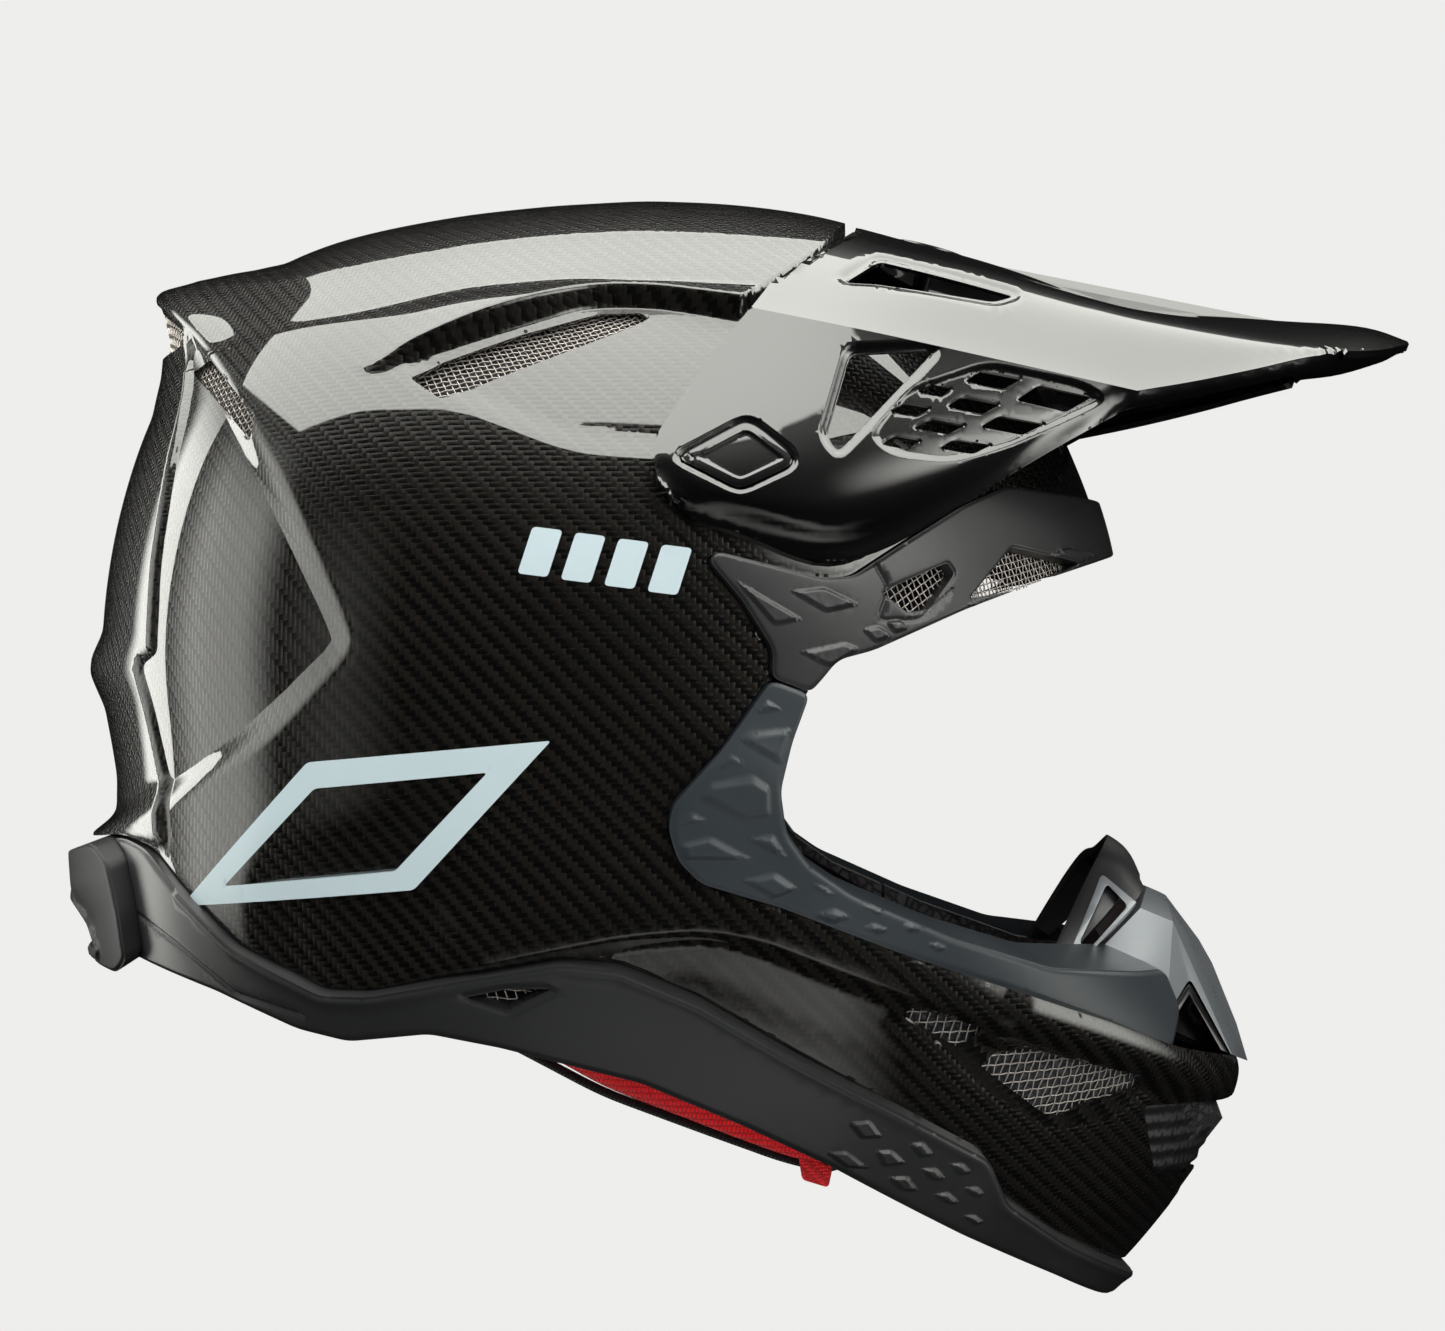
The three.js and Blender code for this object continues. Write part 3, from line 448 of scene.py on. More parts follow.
class Build:
    """Collects faces with their own corner normals and texture positions, then makes the object."""

    def __init__(self):
        self.points, self.faces, self.normals, self.uvs = [], [], [], []
        self.count = 0

    def add(self, points, faces, normals, uvs):
        """faces index points; normals and uvs are one per point."""
        faces = [tuple(int(i) for i in f) for f in faces]
        self.points.append(np.asarray(points, float))
        self.faces += [tuple(i + self.count for i in f) for f in faces]
        order = [i for f in faces for i in f]
        self.normals.append(np.asarray(normals, float)[order])
        self.uvs.append(np.asarray(uvs, float)[order])
        self.count += len(points)

    def mirrored(self):
        """The same on the other side of the mid-plane."""
        other = Build()
        points = np.concatenate(self.points) * [1, -1, 1]
        normals = np.concatenate(self.normals) * [1, -1, 1]
        uvs = np.concatenate(self.uvs) * [-1, 1]
        at = 0
        order = []
        for f in self.faces:
            order += list(range(at, at + len(f)))[::-1]
            at += len(f)
        other.points, other.count = [points], len(points)
        other.faces = [f[::-1] for f in self.faces]
        other.normals, other.uvs = [normals[order]], [uvs[order]]
        return other

    def join(self, other):
        self.points += other.points
        self.faces += [tuple(i + self.count for i in f) for f in other.faces]
        self.normals += other.normals
        self.uvs += other.uvs
        self.count += other.count

    def make(self, name, material):
        """The object, with points welded that lie within half a micrometre."""
        points = np.concatenate(self.points)
        keys = np.round(points * 2000).astype(np.int64)
        _, first, inverse = np.unique(keys, axis=0, return_index=True, return_inverse=True)
        inverse = inverse.reshape(-1)
        normals, uvs = np.concatenate(self.normals), np.concatenate(self.uvs)
        faces, kept, at = [], [], 0
        for f in self.faces:
            g = [int(inverse[i]) for i in f]
            if len(set(g)) == len(g):
                faces.append(g)
                kept += range(at, at + len(f))
            at += len(f)
        mesh = bpy.data.meshes.new(name)
        mesh.from_pydata(points[first] * MM, [], faces)
        layer = mesh.uv_layers.new(name="UVMap")
        layer.data.foreach_set("uv", (uvs[kept] * MM).ravel())
        mesh.polygons.foreach_set("use_smooth", np.full(len(faces), True))
        mesh.normals_split_custom_set(unit(normals[kept]).tolist())
        mesh.materials.append(material)
        mesh.validate()
        return linked(name, mesh)


def walls(build, tris, top, bottom, uv, skip):
    """Side walls from the rim of the top face to the bottom face's rim, shaded smooth round gentle bends."""
    edges = [(a, b) for a, b in rim_edges(tris) if not skip(a, b)]
    along = {}
    for a, b in edges:
        n = np.cross(top[b] - top[a], top[a] - bottom[a])
        along[(a, b)] = n / max(np.linalg.norm(n), 1e-9)
    after = {a: (a, b) for a, b in edges}
    before = {b: (a, b) for a, b in edges}
    for (a, b), n in along.items():
        na, nb = n, n
        if a in before and np.dot(along[before[a]], n) > 0.75:
            na = along[before[a]] + n
        if b in after and np.dot(along[after[b]], n) > 0.75:
            nb = along[after[b]] + n
        quad = [top[a], bottom[a], bottom[b], top[b]]
        build.add(quad, [(0, 1, 2, 3)], [na, na, nb, nb], [uv[a], uv[a], uv[b], uv[b]])


def panel(patch, keep_in, keep_out, spacing, out, depth, relief, edge, extra, box, back_spacing=8,
          rounding=None):
    """One half of a moulded piece: a detailed face, walls around it and a plain back.

    keep_in and keep_out are closed outlines in the patch's domain; keep_in None takes the whole patch. The
    edge is rounded along the lines in rounding, which are open, or else along every outline.
    """
    outlines = list(keep_out) + ([keep_in] if keep_in is not None else [])
    rims = outlines if rounding is None else rounding
    lines = [(o, True) for o in outlines]
    cut = patch.cut()
    if cut is not None:
        lines.append((cut, patch is DOME))

    def keep(q):
        ok = patch.on_right(q)
        if keep_in is not None:
            ok &= inside(q, keep_in)
        for o in keep_out:
            ok &= ~inside(q, o)
        return ok

    def edge_distance(q):
        d = np.full(len(q), 1e9)
        for o in rims:
            low, high = o.min(0) - 2, o.max(0) + 2
            near = np.all((q > low) & (q < high), axis=1)
            if near.any():
                d[near] = np.minimum(d[near], distance(q[near], o, rounding is None))
        return d

    def skip(a, b):
        return cut is not None and bool(patch.on_cut(uv[[a, b]]).all())

    more = [*extra, *(moved_out(densified(o, 1.6), d * edge) for o in outlines for d in (-0.35, 0.35, -1, 1))]
    right = patch.right_sign > 0
    uv, tris = triangulated(lines, keep, spacing, more, box)
    order = tris if right else tris[:, ::-1]
    top, top_n = surface(patch, uv, out, relief, edge_distance, edge)
    build = Build()
    build.add(top, order, top_n, patch.texture(uv))
    back_uv, back_tris = triangulated(lines, keep, back_spacing, (), box)
    back, back_n = surface(patch, back_uv, out - depth)
    build.add(back, back_tris[:, ::-1] if right else back_tris, -back_n, back_uv)
    under, _ = surface(patch, uv, out - depth)
    walls(build, order, top, under, uv, skip)
    return build


DOME = Dome()


def on_dome(points, radius, step=1.5, closed=True):
    """An outline in side view as a line in the dome's domain, with rounded corners."""
    return DOME.locate(rounded(points, radius, step, closed))


# ---------------------------------------------------------------- materials
class Nodes:
    """A node tree, with a short way to make each kind of node."""

    def __init__(self, tree):
        self.tree = tree

    def node(self, kind, links=None, **settings):
        made = self.tree.nodes.new(kind)
        for key, value in settings.items():
            setattr(made, key, value)
        for socket, value in (links or {}).items():
            self.feed(made.inputs[socket], value)
        return made

    def feed(self, socket, value):
        if isinstance(value, bpy.types.NodeSocket):
            self.tree.links.new(value, socket)
        else:
            socket.default_value = value

    def math(self, operation, a, b=0.0, c=0.0):
        return self.node("ShaderNodeMath", {0: a, 1: b, 2: c}, operation=operation).outputs[0]

    def crown(self, t, power):
        """The height across a thread: 1 in its middle and 0 at its edges, where t is 0 and 1."""
        centred = self.math("ABSOLUTE", self.math("MULTIPLY_ADD", t, 2.0, -1.0))
        return self.math("SUBTRACT", 1.0, self.math("POWER", centred, power))

    def mix(self, factor, a, b):
        made = self.node("ShaderNodeMix", data_type="RGBA")
        self.feed(made.inputs["Factor"], factor)
        self.feed(made.inputs["A"], a if isinstance(a, bpy.types.NodeSocket) else (*a, 1))
        self.feed(made.inputs["B"], b if isinstance(b, bpy.types.NodeSocket) else (*b, 1))
        return made.outputs["Result"]

    def ramp(self, value, low, high, out_low=0.0, out_high=1.0, **settings):
        links = {"Value": value, "From Min": low, "From Max": high, "To Min": out_low, "To Max": out_high}
        return self.node("ShaderNodeMapRange", links, **settings).outputs["Result"]

    def uv(self):
        return self.node("ShaderNodeTexCoord").outputs["UV"]

    def place(self):
        return self.node("ShaderNodeTexCoord").outputs["Object"]

    def noise(self, vector, scale, detail, roughness=0.55, stretch=(1, 1, 1)):
        moved = self.node("ShaderNodeMapping", {"Vector": vector, "Scale": stretch})
        links = {"Vector": moved.outputs[0], "Scale": scale, "Detail": detail, "Roughness": roughness}
        return self.node("ShaderNodeTexNoise", links).outputs["Fac"]

    def bump(self, height, distance, strength):
        links = {"Height": height, "Distance": distance, "Strength": strength}
        return self.node("ShaderNodeBump", links).outputs["Normal"]


class Shader(Nodes):
    """A material's nodes around one Principled shader."""

    def __init__(self, name, color, roughness, metallic=0.0, coat=0.0, coat_roughness=0.02, coat_ior=1.5,
                 sheen=0.0, sheen_roughness=0.4):
        self.material = bpy.data.materials.new(name)
        self.material.use_nodes = True
        self.material.diffuse_color = (*color, 1)
        super().__init__(self.material.node_tree)
        self.shader = self.tree.nodes["Principled BSDF"]
        values = {
            "Base Color": (*color, 1), "Roughness": roughness, "Metallic": metallic, "Coat Weight": coat,
            "Coat Roughness": coat_roughness, "Coat IOR": coat_ior, "IOR": 1.5, "Sheen Weight": sheen,
            "Sheen Roughness": sheen_roughness,
        }
        for socket, value in values.items():
            self.shader.inputs[socket].default_value = value

    def use(self, **sockets):
        """Feeds the shader's inputs, named in plain words, and hands back the material."""
        for key, value in sockets.items():
            socket = "Base Color" if key == "color" else key.replace("_", " ").title()
            self.feed(self.shader.inputs[socket], value)
        return self.material


COAT_IOR = 2.1  # strong enough for the mirror-like gloss of lacquer
TOW = 0.0015
TAPE_YARN = 0.0009
KNIT_ROW = 0.0011
GRAIN_SCALE = 1700


def twill(shader, vector, tow):
    """A 2 by 2 twill: (1 where the warp is on top, height of the cloth from 0 to 1)."""
    scaled = shader.node("ShaderNodeVectorMath", {0: vector, 1: (1 / tow, 1 / tow, 1)}, operation="MULTIPLY")
    parts = shader.node("ShaderNodeSeparateXYZ", {0: scaled.outputs[0]})
    u, v = parts.outputs[0], parts.outputs[1]
    fu, fv = shader.math("FRACT", u), shader.math("FRACT", v)
    cell = shader.math("ADD", shader.math("FLOOR", u), shader.math("FLOOR", v))
    phase = shader.math("FLOORED_MODULO", cell, 4.0)
    warp = shader.math("LESS_THAN", phase, 1.5)

    def height(along, across):
        crest = shader.math("MULTIPLY", shader.crown(across, 2.0), 0.4)
        return shader.math("MULTIPLY_ADD", shader.crown(along, 2.0), 0.6, crest)

    warp_along = shader.math("MULTIPLY", shader.math("ADD", phase, fv), 0.5)
    weft_along = shader.math("MULTIPLY", shader.math("ADD", shader.math("SUBTRACT", phase, 2.0), fu), 0.5)
    pick = shader.node("ShaderNodeMix", data_type="FLOAT")
    shader.feed(pick.inputs["Factor"], warp)
    shader.feed(pick.inputs["A"], height(weft_along, fv))
    shader.feed(pick.inputs["B"], height(warp_along, fu))
    return warp, pick.outputs["Result"]


def carbon():
    s = Shader("carbon_twill", (0.03, 0.026, 0.022), 0.34, metallic=0.35, coat=1.0, coat_roughness=0.012,
               coat_ior=COAT_IOR)
    uv = s.uv()
    warp, height = twill(s, uv, TOW)
    fibres_u = s.noise(uv, 900, 2, stretch=(0.06, 1, 1))
    fibres_v = s.noise(uv, 900, 2, stretch=(1, 0.06, 1))
    # painted sheen: the warp's tows take a lighter brown-grey, as if their fibres caught the light, while the
    # weft's stay near black
    tone = s.mix(s.math("MULTIPLY", fibres_v, 0.5), (0.018, 0.015, 0.0115), (0.009, 0.0074, 0.0058))
    dark = s.mix(s.math("MULTIPLY", fibres_u, 0.6), (0.0018, 0.0017, 0.0016), (0.0042, 0.0036, 0.0032))
    cloth = s.mix(warp, dark, tone)
    patches = s.noise(s.place(), 14, 2)
    cloth = s.mix(s.ramp(patches, 0.35, 0.75, 0.0, 0.45), cloth, (0.004, 0.0037, 0.0034))
    # painted shade: the cloth goes near black in the low valleys between the tows
    shaded = s.mix(s.ramp(height, 0.0, 0.35, 1.0, 0.0), cloth, (0.001, 0.001, 0.001))
    fine = s.math("MULTIPLY_ADD", s.math("ADD", fibres_u, fibres_v), 0.08, height)
    s.use(color=shaded, normal=s.bump(fine, 0.00025, 0.9), roughness=s.ramp(fibres_u, 0.3, 0.7, 0.28, 0.42))
    swirl = s.noise(s.place(), 260, 2)
    return s.use(coat_normal=s.bump(swirl, 0.000004, 0.5))


def gloss_black():
    s = Shader("gloss_black_paint", (0.004, 0.004, 0.0045), 0.3, coat=1.0, coat_roughness=0.012,
               coat_ior=COAT_IOR)
    flakes = s.noise(s.place(), 2600, 1)
    tone = s.mix(s.ramp(flakes, 0.45, 0.8), (0.0008, 0.0008, 0.001), (0.003, 0.003, 0.0033))
    ripple = s.noise(s.place(), 190, 2)
    return s.use(color=tone, coat_normal=s.bump(ripple, 0.000005, 0.5))


def moulded(name, low, high, roughness, grain, metallic=0.0, coat=0.0):
    """Satin moulded rubber or plastic: fine spark-eroded grain, faint flow marks and rubbed patches."""
    s = Shader(name, low, roughness, metallic=metallic, coat=coat, coat_roughness=0.4, coat_ior=1.9)
    fine = s.noise(s.place(), GRAIN_SCALE, 2, 0.6)
    broad = s.noise(s.place(), 16, 3)
    tone = s.mix(s.ramp(broad, 0.35, 0.7), low, high)
    pits = s.node("ShaderNodeTexVoronoi", {"Vector": s.place(), "Scale": GRAIN_SCALE * 0.8})
    height = s.math("ADD", fine, s.math("MULTIPLY", pits.outputs["Distance"], 0.5))
    rubbed = s.ramp(broad, 0.3, 0.7, roughness - 0.05, roughness + 0.06)
    rough = s.math("ADD", rubbed, s.ramp(fine, 0.3, 0.7, -0.03, 0.03))
    return s.use(color=tone, roughness=rough, normal=s.bump(height, grain, 0.8))


def wire():
    s = Shader("woven_steel_wire", (0.75, 0.72, 0.68), 0.32, metallic=0.7)
    tint = s.noise(s.place(), 320, 2)
    tone = s.mix(tint, (0.86, 0.80, 0.74), (0.55, 0.50, 0.46))
    return s.use(color=tone, roughness=s.ramp(tint, 0.3, 0.7, 0.22, 0.4))


def steel():
    s = Shader("plated_steel", (0.55, 0.55, 0.54), 0.25, metallic=1.0)
    brushed = s.noise(s.place(), 500, 3, stretch=(1, 12, 1))
    return s.use(roughness=s.ramp(brushed, 0.3, 0.7, 0.18, 0.4), normal=s.bump(brushed, 0.00001, 0.6))


def foam_beads():
    s = Shader("expanded_bead_foam", (0.02, 0.02, 0.021), 0.75)
    cells = s.node("ShaderNodeTexVoronoi", {"Vector": s.place(), "Scale": 330.0}, feature="DISTANCE_TO_EDGE")
    edge = s.ramp(cells.outputs["Distance"], 0.0, 0.25)
    tint = s.noise(s.place(), 120, 2)
    tone = s.mix(edge, (0.008, 0.008, 0.009), s.mix(tint, (0.030, 0.031, 0.033), (0.045, 0.046, 0.048)))
    return s.use(color=tone, normal=s.bump(edge, 0.0003, 0.8))


def knit(name, thread, shadow, sheen=0.5):
    """Fabric over foam: rows of small knitted ovals with painted shade between them, and a sheen."""
    s = Shader(name, thread, 0.85, sheen=sheen, sheen_roughness=0.35)
    uv = s.uv()
    size = (1 / KNIT_ROW, 0.62 / KNIT_ROW, 1)
    scaled = s.node("ShaderNodeVectorMath", {0: uv, 1: size}, operation="MULTIPLY")
    parts = s.node("ShaderNodeSeparateXYZ", {0: scaled.outputs[0]})
    row = s.math("FLOOR", parts.outputs[1])
    shifted = s.math("MULTIPLY_ADD", s.math("FLOORED_MODULO", row, 2.0), 0.5, parts.outputs[0])
    across, up = (s.crown(s.math("FRACT", t), 2.2) for t in (shifted, parts.outputs[1]))
    height = s.math("MULTIPLY", across, up)
    yarn = s.noise(uv, 5200, 2)
    broad = s.noise(s.place(), 26, 3)
    # painted shade: the low ground between the ovals takes the shadow colour
    tone = s.mix(s.ramp(height, 0.05, 0.6), shadow, thread)
    # broad random patches are drawn towards the same dark colour
    tone = s.mix(s.ramp(broad, 0.3, 0.75, 0.0, 0.35), tone, shadow)
    fine = s.math("MULTIPLY_ADD", yarn, 0.35, height)
    return s.use(color=tone, normal=s.bump(fine, 0.00035, 0.9))


def webbing(name, thread, shadow):
    """Woven tape: herringbone picks across its width."""
    s = Shader(name, thread, 0.7, sheen=0.35)
    warp, height = twill(s, s.uv(), TAPE_YARN)
    # painted shade: the low ground between the yarns takes the shadow colour
    tone = s.mix(s.ramp(height, 0.0, 0.6), shadow, s.mix(warp, thread, tuple(0.7 * c for c in thread)))
    return s.use(color=tone, normal=s.bump(height, 0.0003, 0.9))


def decal(name, color):
    s = Shader(name, color, 0.35, coat=1.0, coat_roughness=0.03)
    broad = s.noise(s.place(), 60, 2)
    return s.use(color=s.mix(s.ramp(broad, 0.3, 0.7, 0.0, 0.25), color, tuple(0.9 * c for c in color)))


CARBON = carbon()
GLOSS = gloss_black()
BLACK_RUBBER = moulded("black_rubber", (0.014, 0.0145, 0.015), (0.02, 0.0205, 0.0215), 0.33, 0.00002,
                       coat=0.55)
GREY_RUBBER = moulded("grey_rubber", (0.023, 0.029, 0.033), (0.032, 0.039, 0.044), 0.34, 0.00002, coat=0.25)
MATTE_PLASTIC = moulded("matte_black_plastic", (0.012, 0.012, 0.013), (0.018, 0.018, 0.019), 0.45, 0.00004)
GREY_PLASTIC = moulded("grey_satin_plastic", (0.23, 0.25, 0.262), (0.28, 0.30, 0.312), 0.32, 0.00002,
                       metallic=0.3, coat=0.6)
WIRE = wire()
STEEL = steel()
BEADS = foam_beads()
BLACK_KNIT = knit("black_knit", (0.012, 0.012, 0.013), (0.003, 0.003, 0.003))
RED_KNIT = knit("red_knit", (0.95, 0.006, 0.012), (0.42, 0.002, 0.004), sheen=0.12)
BLACK_TAPE = webbing("black_webbing", (0.014, 0.014, 0.015), (0.004, 0.004, 0.004))
RED_TAPE = webbing("red_webbing", (0.85, 0.02, 0.025), (0.45, 0.006, 0.01))
MINT = decal("mint_decal", (0.56, 0.68, 0.70))


def settle(thing, body, slot, *nodes):
    """Fixes a piece to its body and hides the frame's solids that it stands for. The slot is not used."""
    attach(thing, body)
    if nodes:
        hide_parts(*nodes)

# ---------------------------------------------------------------- shell

OVERHANG = [
    (-57, 81.5), (-50, 86), (-40.5, 89), (-20, 95.5), (-4, 100.3), (6, 101.5), (18, 101), (41.5, 96.8),
    (60, 93),
]
SHOULDER = [
    (-126, 97), (-117.5, 101), (-98.5, 106), (-83, 109), (-68.5, 111.5), (-43, 114.5), (-9.5, 115.5),
    (24, 115), (51.5, 113.5), (74, 112.5),
]
RECESS_CREASE = [(-56, 81.5), (-40.5, 72), (-27, 66.5), (-9.5, 59), (0, 56.5), (21, 55)]
REAR_V = [
    (-113, 94), (-103, 79), (-91.5, 61.5), (-78, 36.5), (-65.5, 12.5), (-64, 3), (-80.5, -12.5),
    (-99.5, -27), (-122, -40),
]
REAR_SPINE = [
    (-112, 90), (-113.5, 81.5), (-118, 60), (-122, 29), (-123, 3), (-128, 0), (-124, -12), (-118, -34.5),
    (-117, -50),
]
CHIN_CREASE = [
    (-70, -92), (-59.5, -88.5), (-43, -83.5), (-18.5, -78), (8, -72.5), (29.5, -70.5), (45.5, -73),
    (67, -81.5), (83, -88), (111, -99), (140, -109.5), (190, -128),
]
PEAK_ZONE = [*PEAK_REAR, (74, 190), (290, 190), (290, 40), (110, 40), (60, 20), (12, 50)]


def shell_relief():
    r = Relief((-213, -213), (213, 213), 0.55)
    # the upper shell rises towards the peak, and its lower edge overhangs the vent
    raised = on_dome([(-190, 96), (-130, 92), (-72, 82), *OVERHANG, (110, 92), (110, 190), (-190, 240)], 5)
    part, points, shape = r.window(raised, 6)
    signed = signed_distance(points, raised)
    seam = -signed_distance(points, on_dome(PEAK_ZONE, 2))
    x = DOME.xz(points)[:, 0]
    brow_part = np.exp(-np.maximum(signed, 0) / 18)
    rise = RAISE * (smoothstep(-70, -26, x) * brow_part + smoothstep(-70, 20, x) * (1 - brow_part))
    height = rise * smoothstep(-4.6, 0.6, signed) * smoothstep(0.1, 2.2, seam)
    r.grid[part] += height.reshape(shape)
    # the band above the shoulder line stands proud and falls away below it
    band = on_dome([*SHOULDER, (90, 130), (100, 190), (-60, 240), (-190, 200), (-190, 100)], 8)
    part, points, shape = r.window(band, 30)
    below = np.minimum(signed_distance(points, band), 0)
    sink = -2.8 * (1 - np.exp(below / 12)) * smoothstep(-132, -100, DOME.xz(points)[:, 0])
    r.grid[part] += (sink * smoothstep(40, 25, np.abs(below))).reshape(shape)
    # the recess under the overhang, flat and tilted up, ends in a soft crease
    r.raise_inside(on_dome([*OVERHANG[:-1], (60, 92), (60, 58), *RECESS_CREASE[::-1]], 5), -1.6, 9, 1.5)
    # the rear panels are sunk behind a rounded V, and the spine between them stands proud
    rear = on_dome([*REAR_V, (-150, -52), (-230, -60), (-230, 110), (-150, 112)], 16)
    r.raise_inside(rear, -3.6, 9, 3)
    spine = on_dome([*REAR_SPINE, (-230, -60), (-230, 110), (-150, 104)], 2)
    r.raise_inside(spine, 2.4, 4.5, 2.0)
    # the chin bar: a rounded rail over a sharp crease, a sunk flank and the vents' own recess
    flank = on_dome([*CHIN_CREASE, (230, -140), (230, -340), (-70, -340)], 8)
    r.raise_inside(flank, -2.2, 2.6, 0.5)
    rail = [(-30, -74), (8, -66), (30, -63.5), (50, -68), (84, -82), (112, -92), (142, -102), (190, -119)]
    r.ridge(on_dome(rail, 12, closed=False), 2.6, 13)
    r.ridge(on_dome([(118, -94), (145, -103), (192, -119.5)], 12, closed=False), 1.9, 8)
    r.ridge(on_dome([(-80, -70), (-30, -66), (0, -57), (18, -50)], 20, closed=False), -2.2, 20)
    vents = [(76, -96.5), (88, -88.5), (120, -99.5), (160, -112.5), (166, -117), (150, -126), (128, -130),
             (108, -118)]
    r.raise_inside(on_dome(vents, 6), -1.5, 6, 0.5)
    front = on_dome([(176, -128), (230, -128), (230, -190), (150, -190), (170, -150)], 4)
    r.raise_inside(front, -1.6, 3, 0.5)
    return r


def feature_lines(lines, offsets=(0, 0.6, 1.3, 2.2, 3.4, 5.0), radius=4):
    """Extra mesh points along the sharp features of a relief."""
    out = []
    for line in lines:
        path = densified(on_dome(line, radius, 1.8, False), 1.6, False)
        t = np.gradient(path, axis=0)
        n = unit(np.stack([t[:, 1], -t[:, 0]], 1))
        out += [path + n * d for d in offsets]
        out += [path - n * d for d in offsets if d]
    return out


SHELL_RELIEF = shell_relief()


TRIM_GAP = 0.45


def trim_line(points, grow, radius=2.5):
    return DOME.locate(moved_out(rounded(points, radius, 1.5), grow))


def make_shell():
    vents = (TOP_VENT, REAR_VENT_UPPER, REAR_VENT_LOWER, CHIN_VENT_REAR, CHIN_VENT_FRONT)
    grille = [(155, -124), (225, -124), (215, -150), (160, -146)]
    edges = ((BROW, TRIM_GAP), (GASKET, TRIM_GAP), (EYE_PORT, 0.0), (BELOW_BASE, TRIM_GAP))
    out = [trim_line(outline, grow) for outline, grow in edges]
    out += [on_dome(o, 1.2) for o in vents] + [on_dome(grille, 2), on_dome(SCREW_SLOT, 2)]
    extra = feature_lines([OVERHANG], (0, 0.8, 1.6, 2.4, 3.2, 4.0, 4.8))
    extra += feature_lines([PEAK_ZONE[:9]], (0.1, 1.15, 2.2, 3.4), 2)
    extra += feature_lines([CHIN_CREASE, REAR_SPINE])
    extra += feature_lines([SHOULDER, RECESS_CREASE, REAR_V], (0.0, 1.4, 3.0, 4.6, 6.4))
    half = panel(DOME, None, out, 2.5, 0.0, SHELL, SHELL_RELIEF, 0.7, extra, ((-211, -211), (211, 211)))
    half.join(half.mirrored())
    settle(half.make("shell_carbon", CARBON), "helmet", "gloss_carbon", "carbon_shell")


make_shell()


# ---------------------------------------------------------------- small shapes
def applied(thing):
    """Bakes the modifiers into the mesh."""
    graph = bpy.context.evaluated_depsgraph_get()
    mesh = bpy.data.meshes.new_from_object(thing.evaluated_get(graph))
    old = thing.data
    thing.modifiers.clear()
    thing.data = mesh
    mesh.name = thing.name
    bpy.data.meshes.remove(old)
    return thing


def finished(thing, material, angle=32):
    """Smooth shading with sharp edges over the angle, a texture layer and the material."""
    mesh = thing.data
    mesh.materials.clear()
    mesh.materials.append(material)
    mesh.polygons.foreach_set("use_smooth", np.full(len(mesh.polygons), True))
    mesh.set_sharp_from_angle(angle=math.radians(angle))
    if not mesh.uv_layers:
        layer = mesh.uv_layers.new(name="UVMap")
        co = np.zeros(len(mesh.vertices) * 3)
        mesh.vertices.foreach_get("co", co)
        co = co.reshape(-1, 3)
        index = np.zeros(len(mesh.loops), int)
        mesh.loops.foreach_get("vertex_index", index)
        layer.data.foreach_set("uv", np.stack([co[index, 0], co[index, 2] + co[index, 1]], 1).ravel())
    return thing


def from_faces(name, points, faces):
    mesh = bpy.data.meshes.new(name)
    mesh.from_pydata([tuple(c * MM for c in p) for p in points], [], faces)
    return linked(name, mesh)


def closed_body(name, points, faces):
    """The same for a closed body, with every face turned outwards."""
    thing = from_faces(name, points, faces)
    shape = bmesh.new()
    shape.from_mesh(thing.data)
    bmesh.ops.recalc_face_normals(shape, faces=shape.faces)
    shape.to_mesh(thing.data)
    shape.free()
    return thing


def hull_of(name, points):
    shape = bmesh.new()
    for p in points:
        shape.verts.new([c * MM for c in p])
    made = bmesh.ops.convex_hull(shape, input=shape.verts)
    spare = [g for g in made["geom_interior"] if isinstance(g, bmesh.types.BMVert)]
    bmesh.ops.delete(shape, geom=spare, context="VERTS")
    bmesh.ops.dissolve_limit(shape, angle_limit=math.radians(2), verts=shape.verts, edges=shape.edges)
    bmesh.ops.recalc_face_normals(shape, faces=shape.faces)
    mesh = bpy.data.meshes.new(name)
    shape.to_mesh(mesh)
    shape.free()
    return linked(name, mesh)


def side_prism(name, outline, y0, y1):
    """The side-view outline carried along Y."""
    count = len(outline)
    points = [(x, y0, z) for x, z in outline] + [(x, y1, z) for x, z in outline]
    faces = [tuple(range(count)), tuple(range(2 * count - 1, count - 1, -1))]
    faces += [(i, i + count, (i + 1) % count + count, (i + 1) % count) for i in range(count)]
    return closed_body(name, points, faces)


def cut_by(thing, tool, operation="DIFFERENCE"):
    step = thing.modifiers.new("cut", "BOOLEAN")
    step.operation, step.solver, step.object = operation, "EXACT", tool
    applied(thing)
    bpy.data.objects.remove(tool)
    return thing


def bevelled(thing, width, segments, angle=24):
    step = thing.modifiers.new("bevel", "BEVEL")
    step.width, step.segments = width * MM, segments
    step.limit_method, step.angle_limit = "ANGLE", math.radians(angle)
    return applied(thing)


def both_sides(points):
    return [q for x, y, z in points for q in ([(x, y, z), (x, -y, z)] if y else [(x, y, z)])]


def turned(name, profile, matrix, material, around=48):
    """A profile of (radius, height) turned about its own Z. It is a ring if it ends where it starts."""
    ring = profile[0] == profile[-1]
    profile = profile[:-1] if ring else profile
    points, faces = [], []
    rows = len(profile)
    for r, h in profile:
        for k in range(around):
            a = 2 * math.pi * k / around
            points.append(matrix @ Vector((r * math.cos(a), r * math.sin(a), h)))
    for i in range(rows if ring else rows - 1):
        for k in range(around):
            n, j = (k + 1) % around, (i + 1) % rows
            faces.append((i * around + k, i * around + n, j * around + n, j * around + k))
    if not ring:
        faces.append(tuple(range(around))[::-1])
        faces.append(tuple((rows - 1) * around + k for k in range(around)))
    return finished(closed_body(name, points, faces), material)


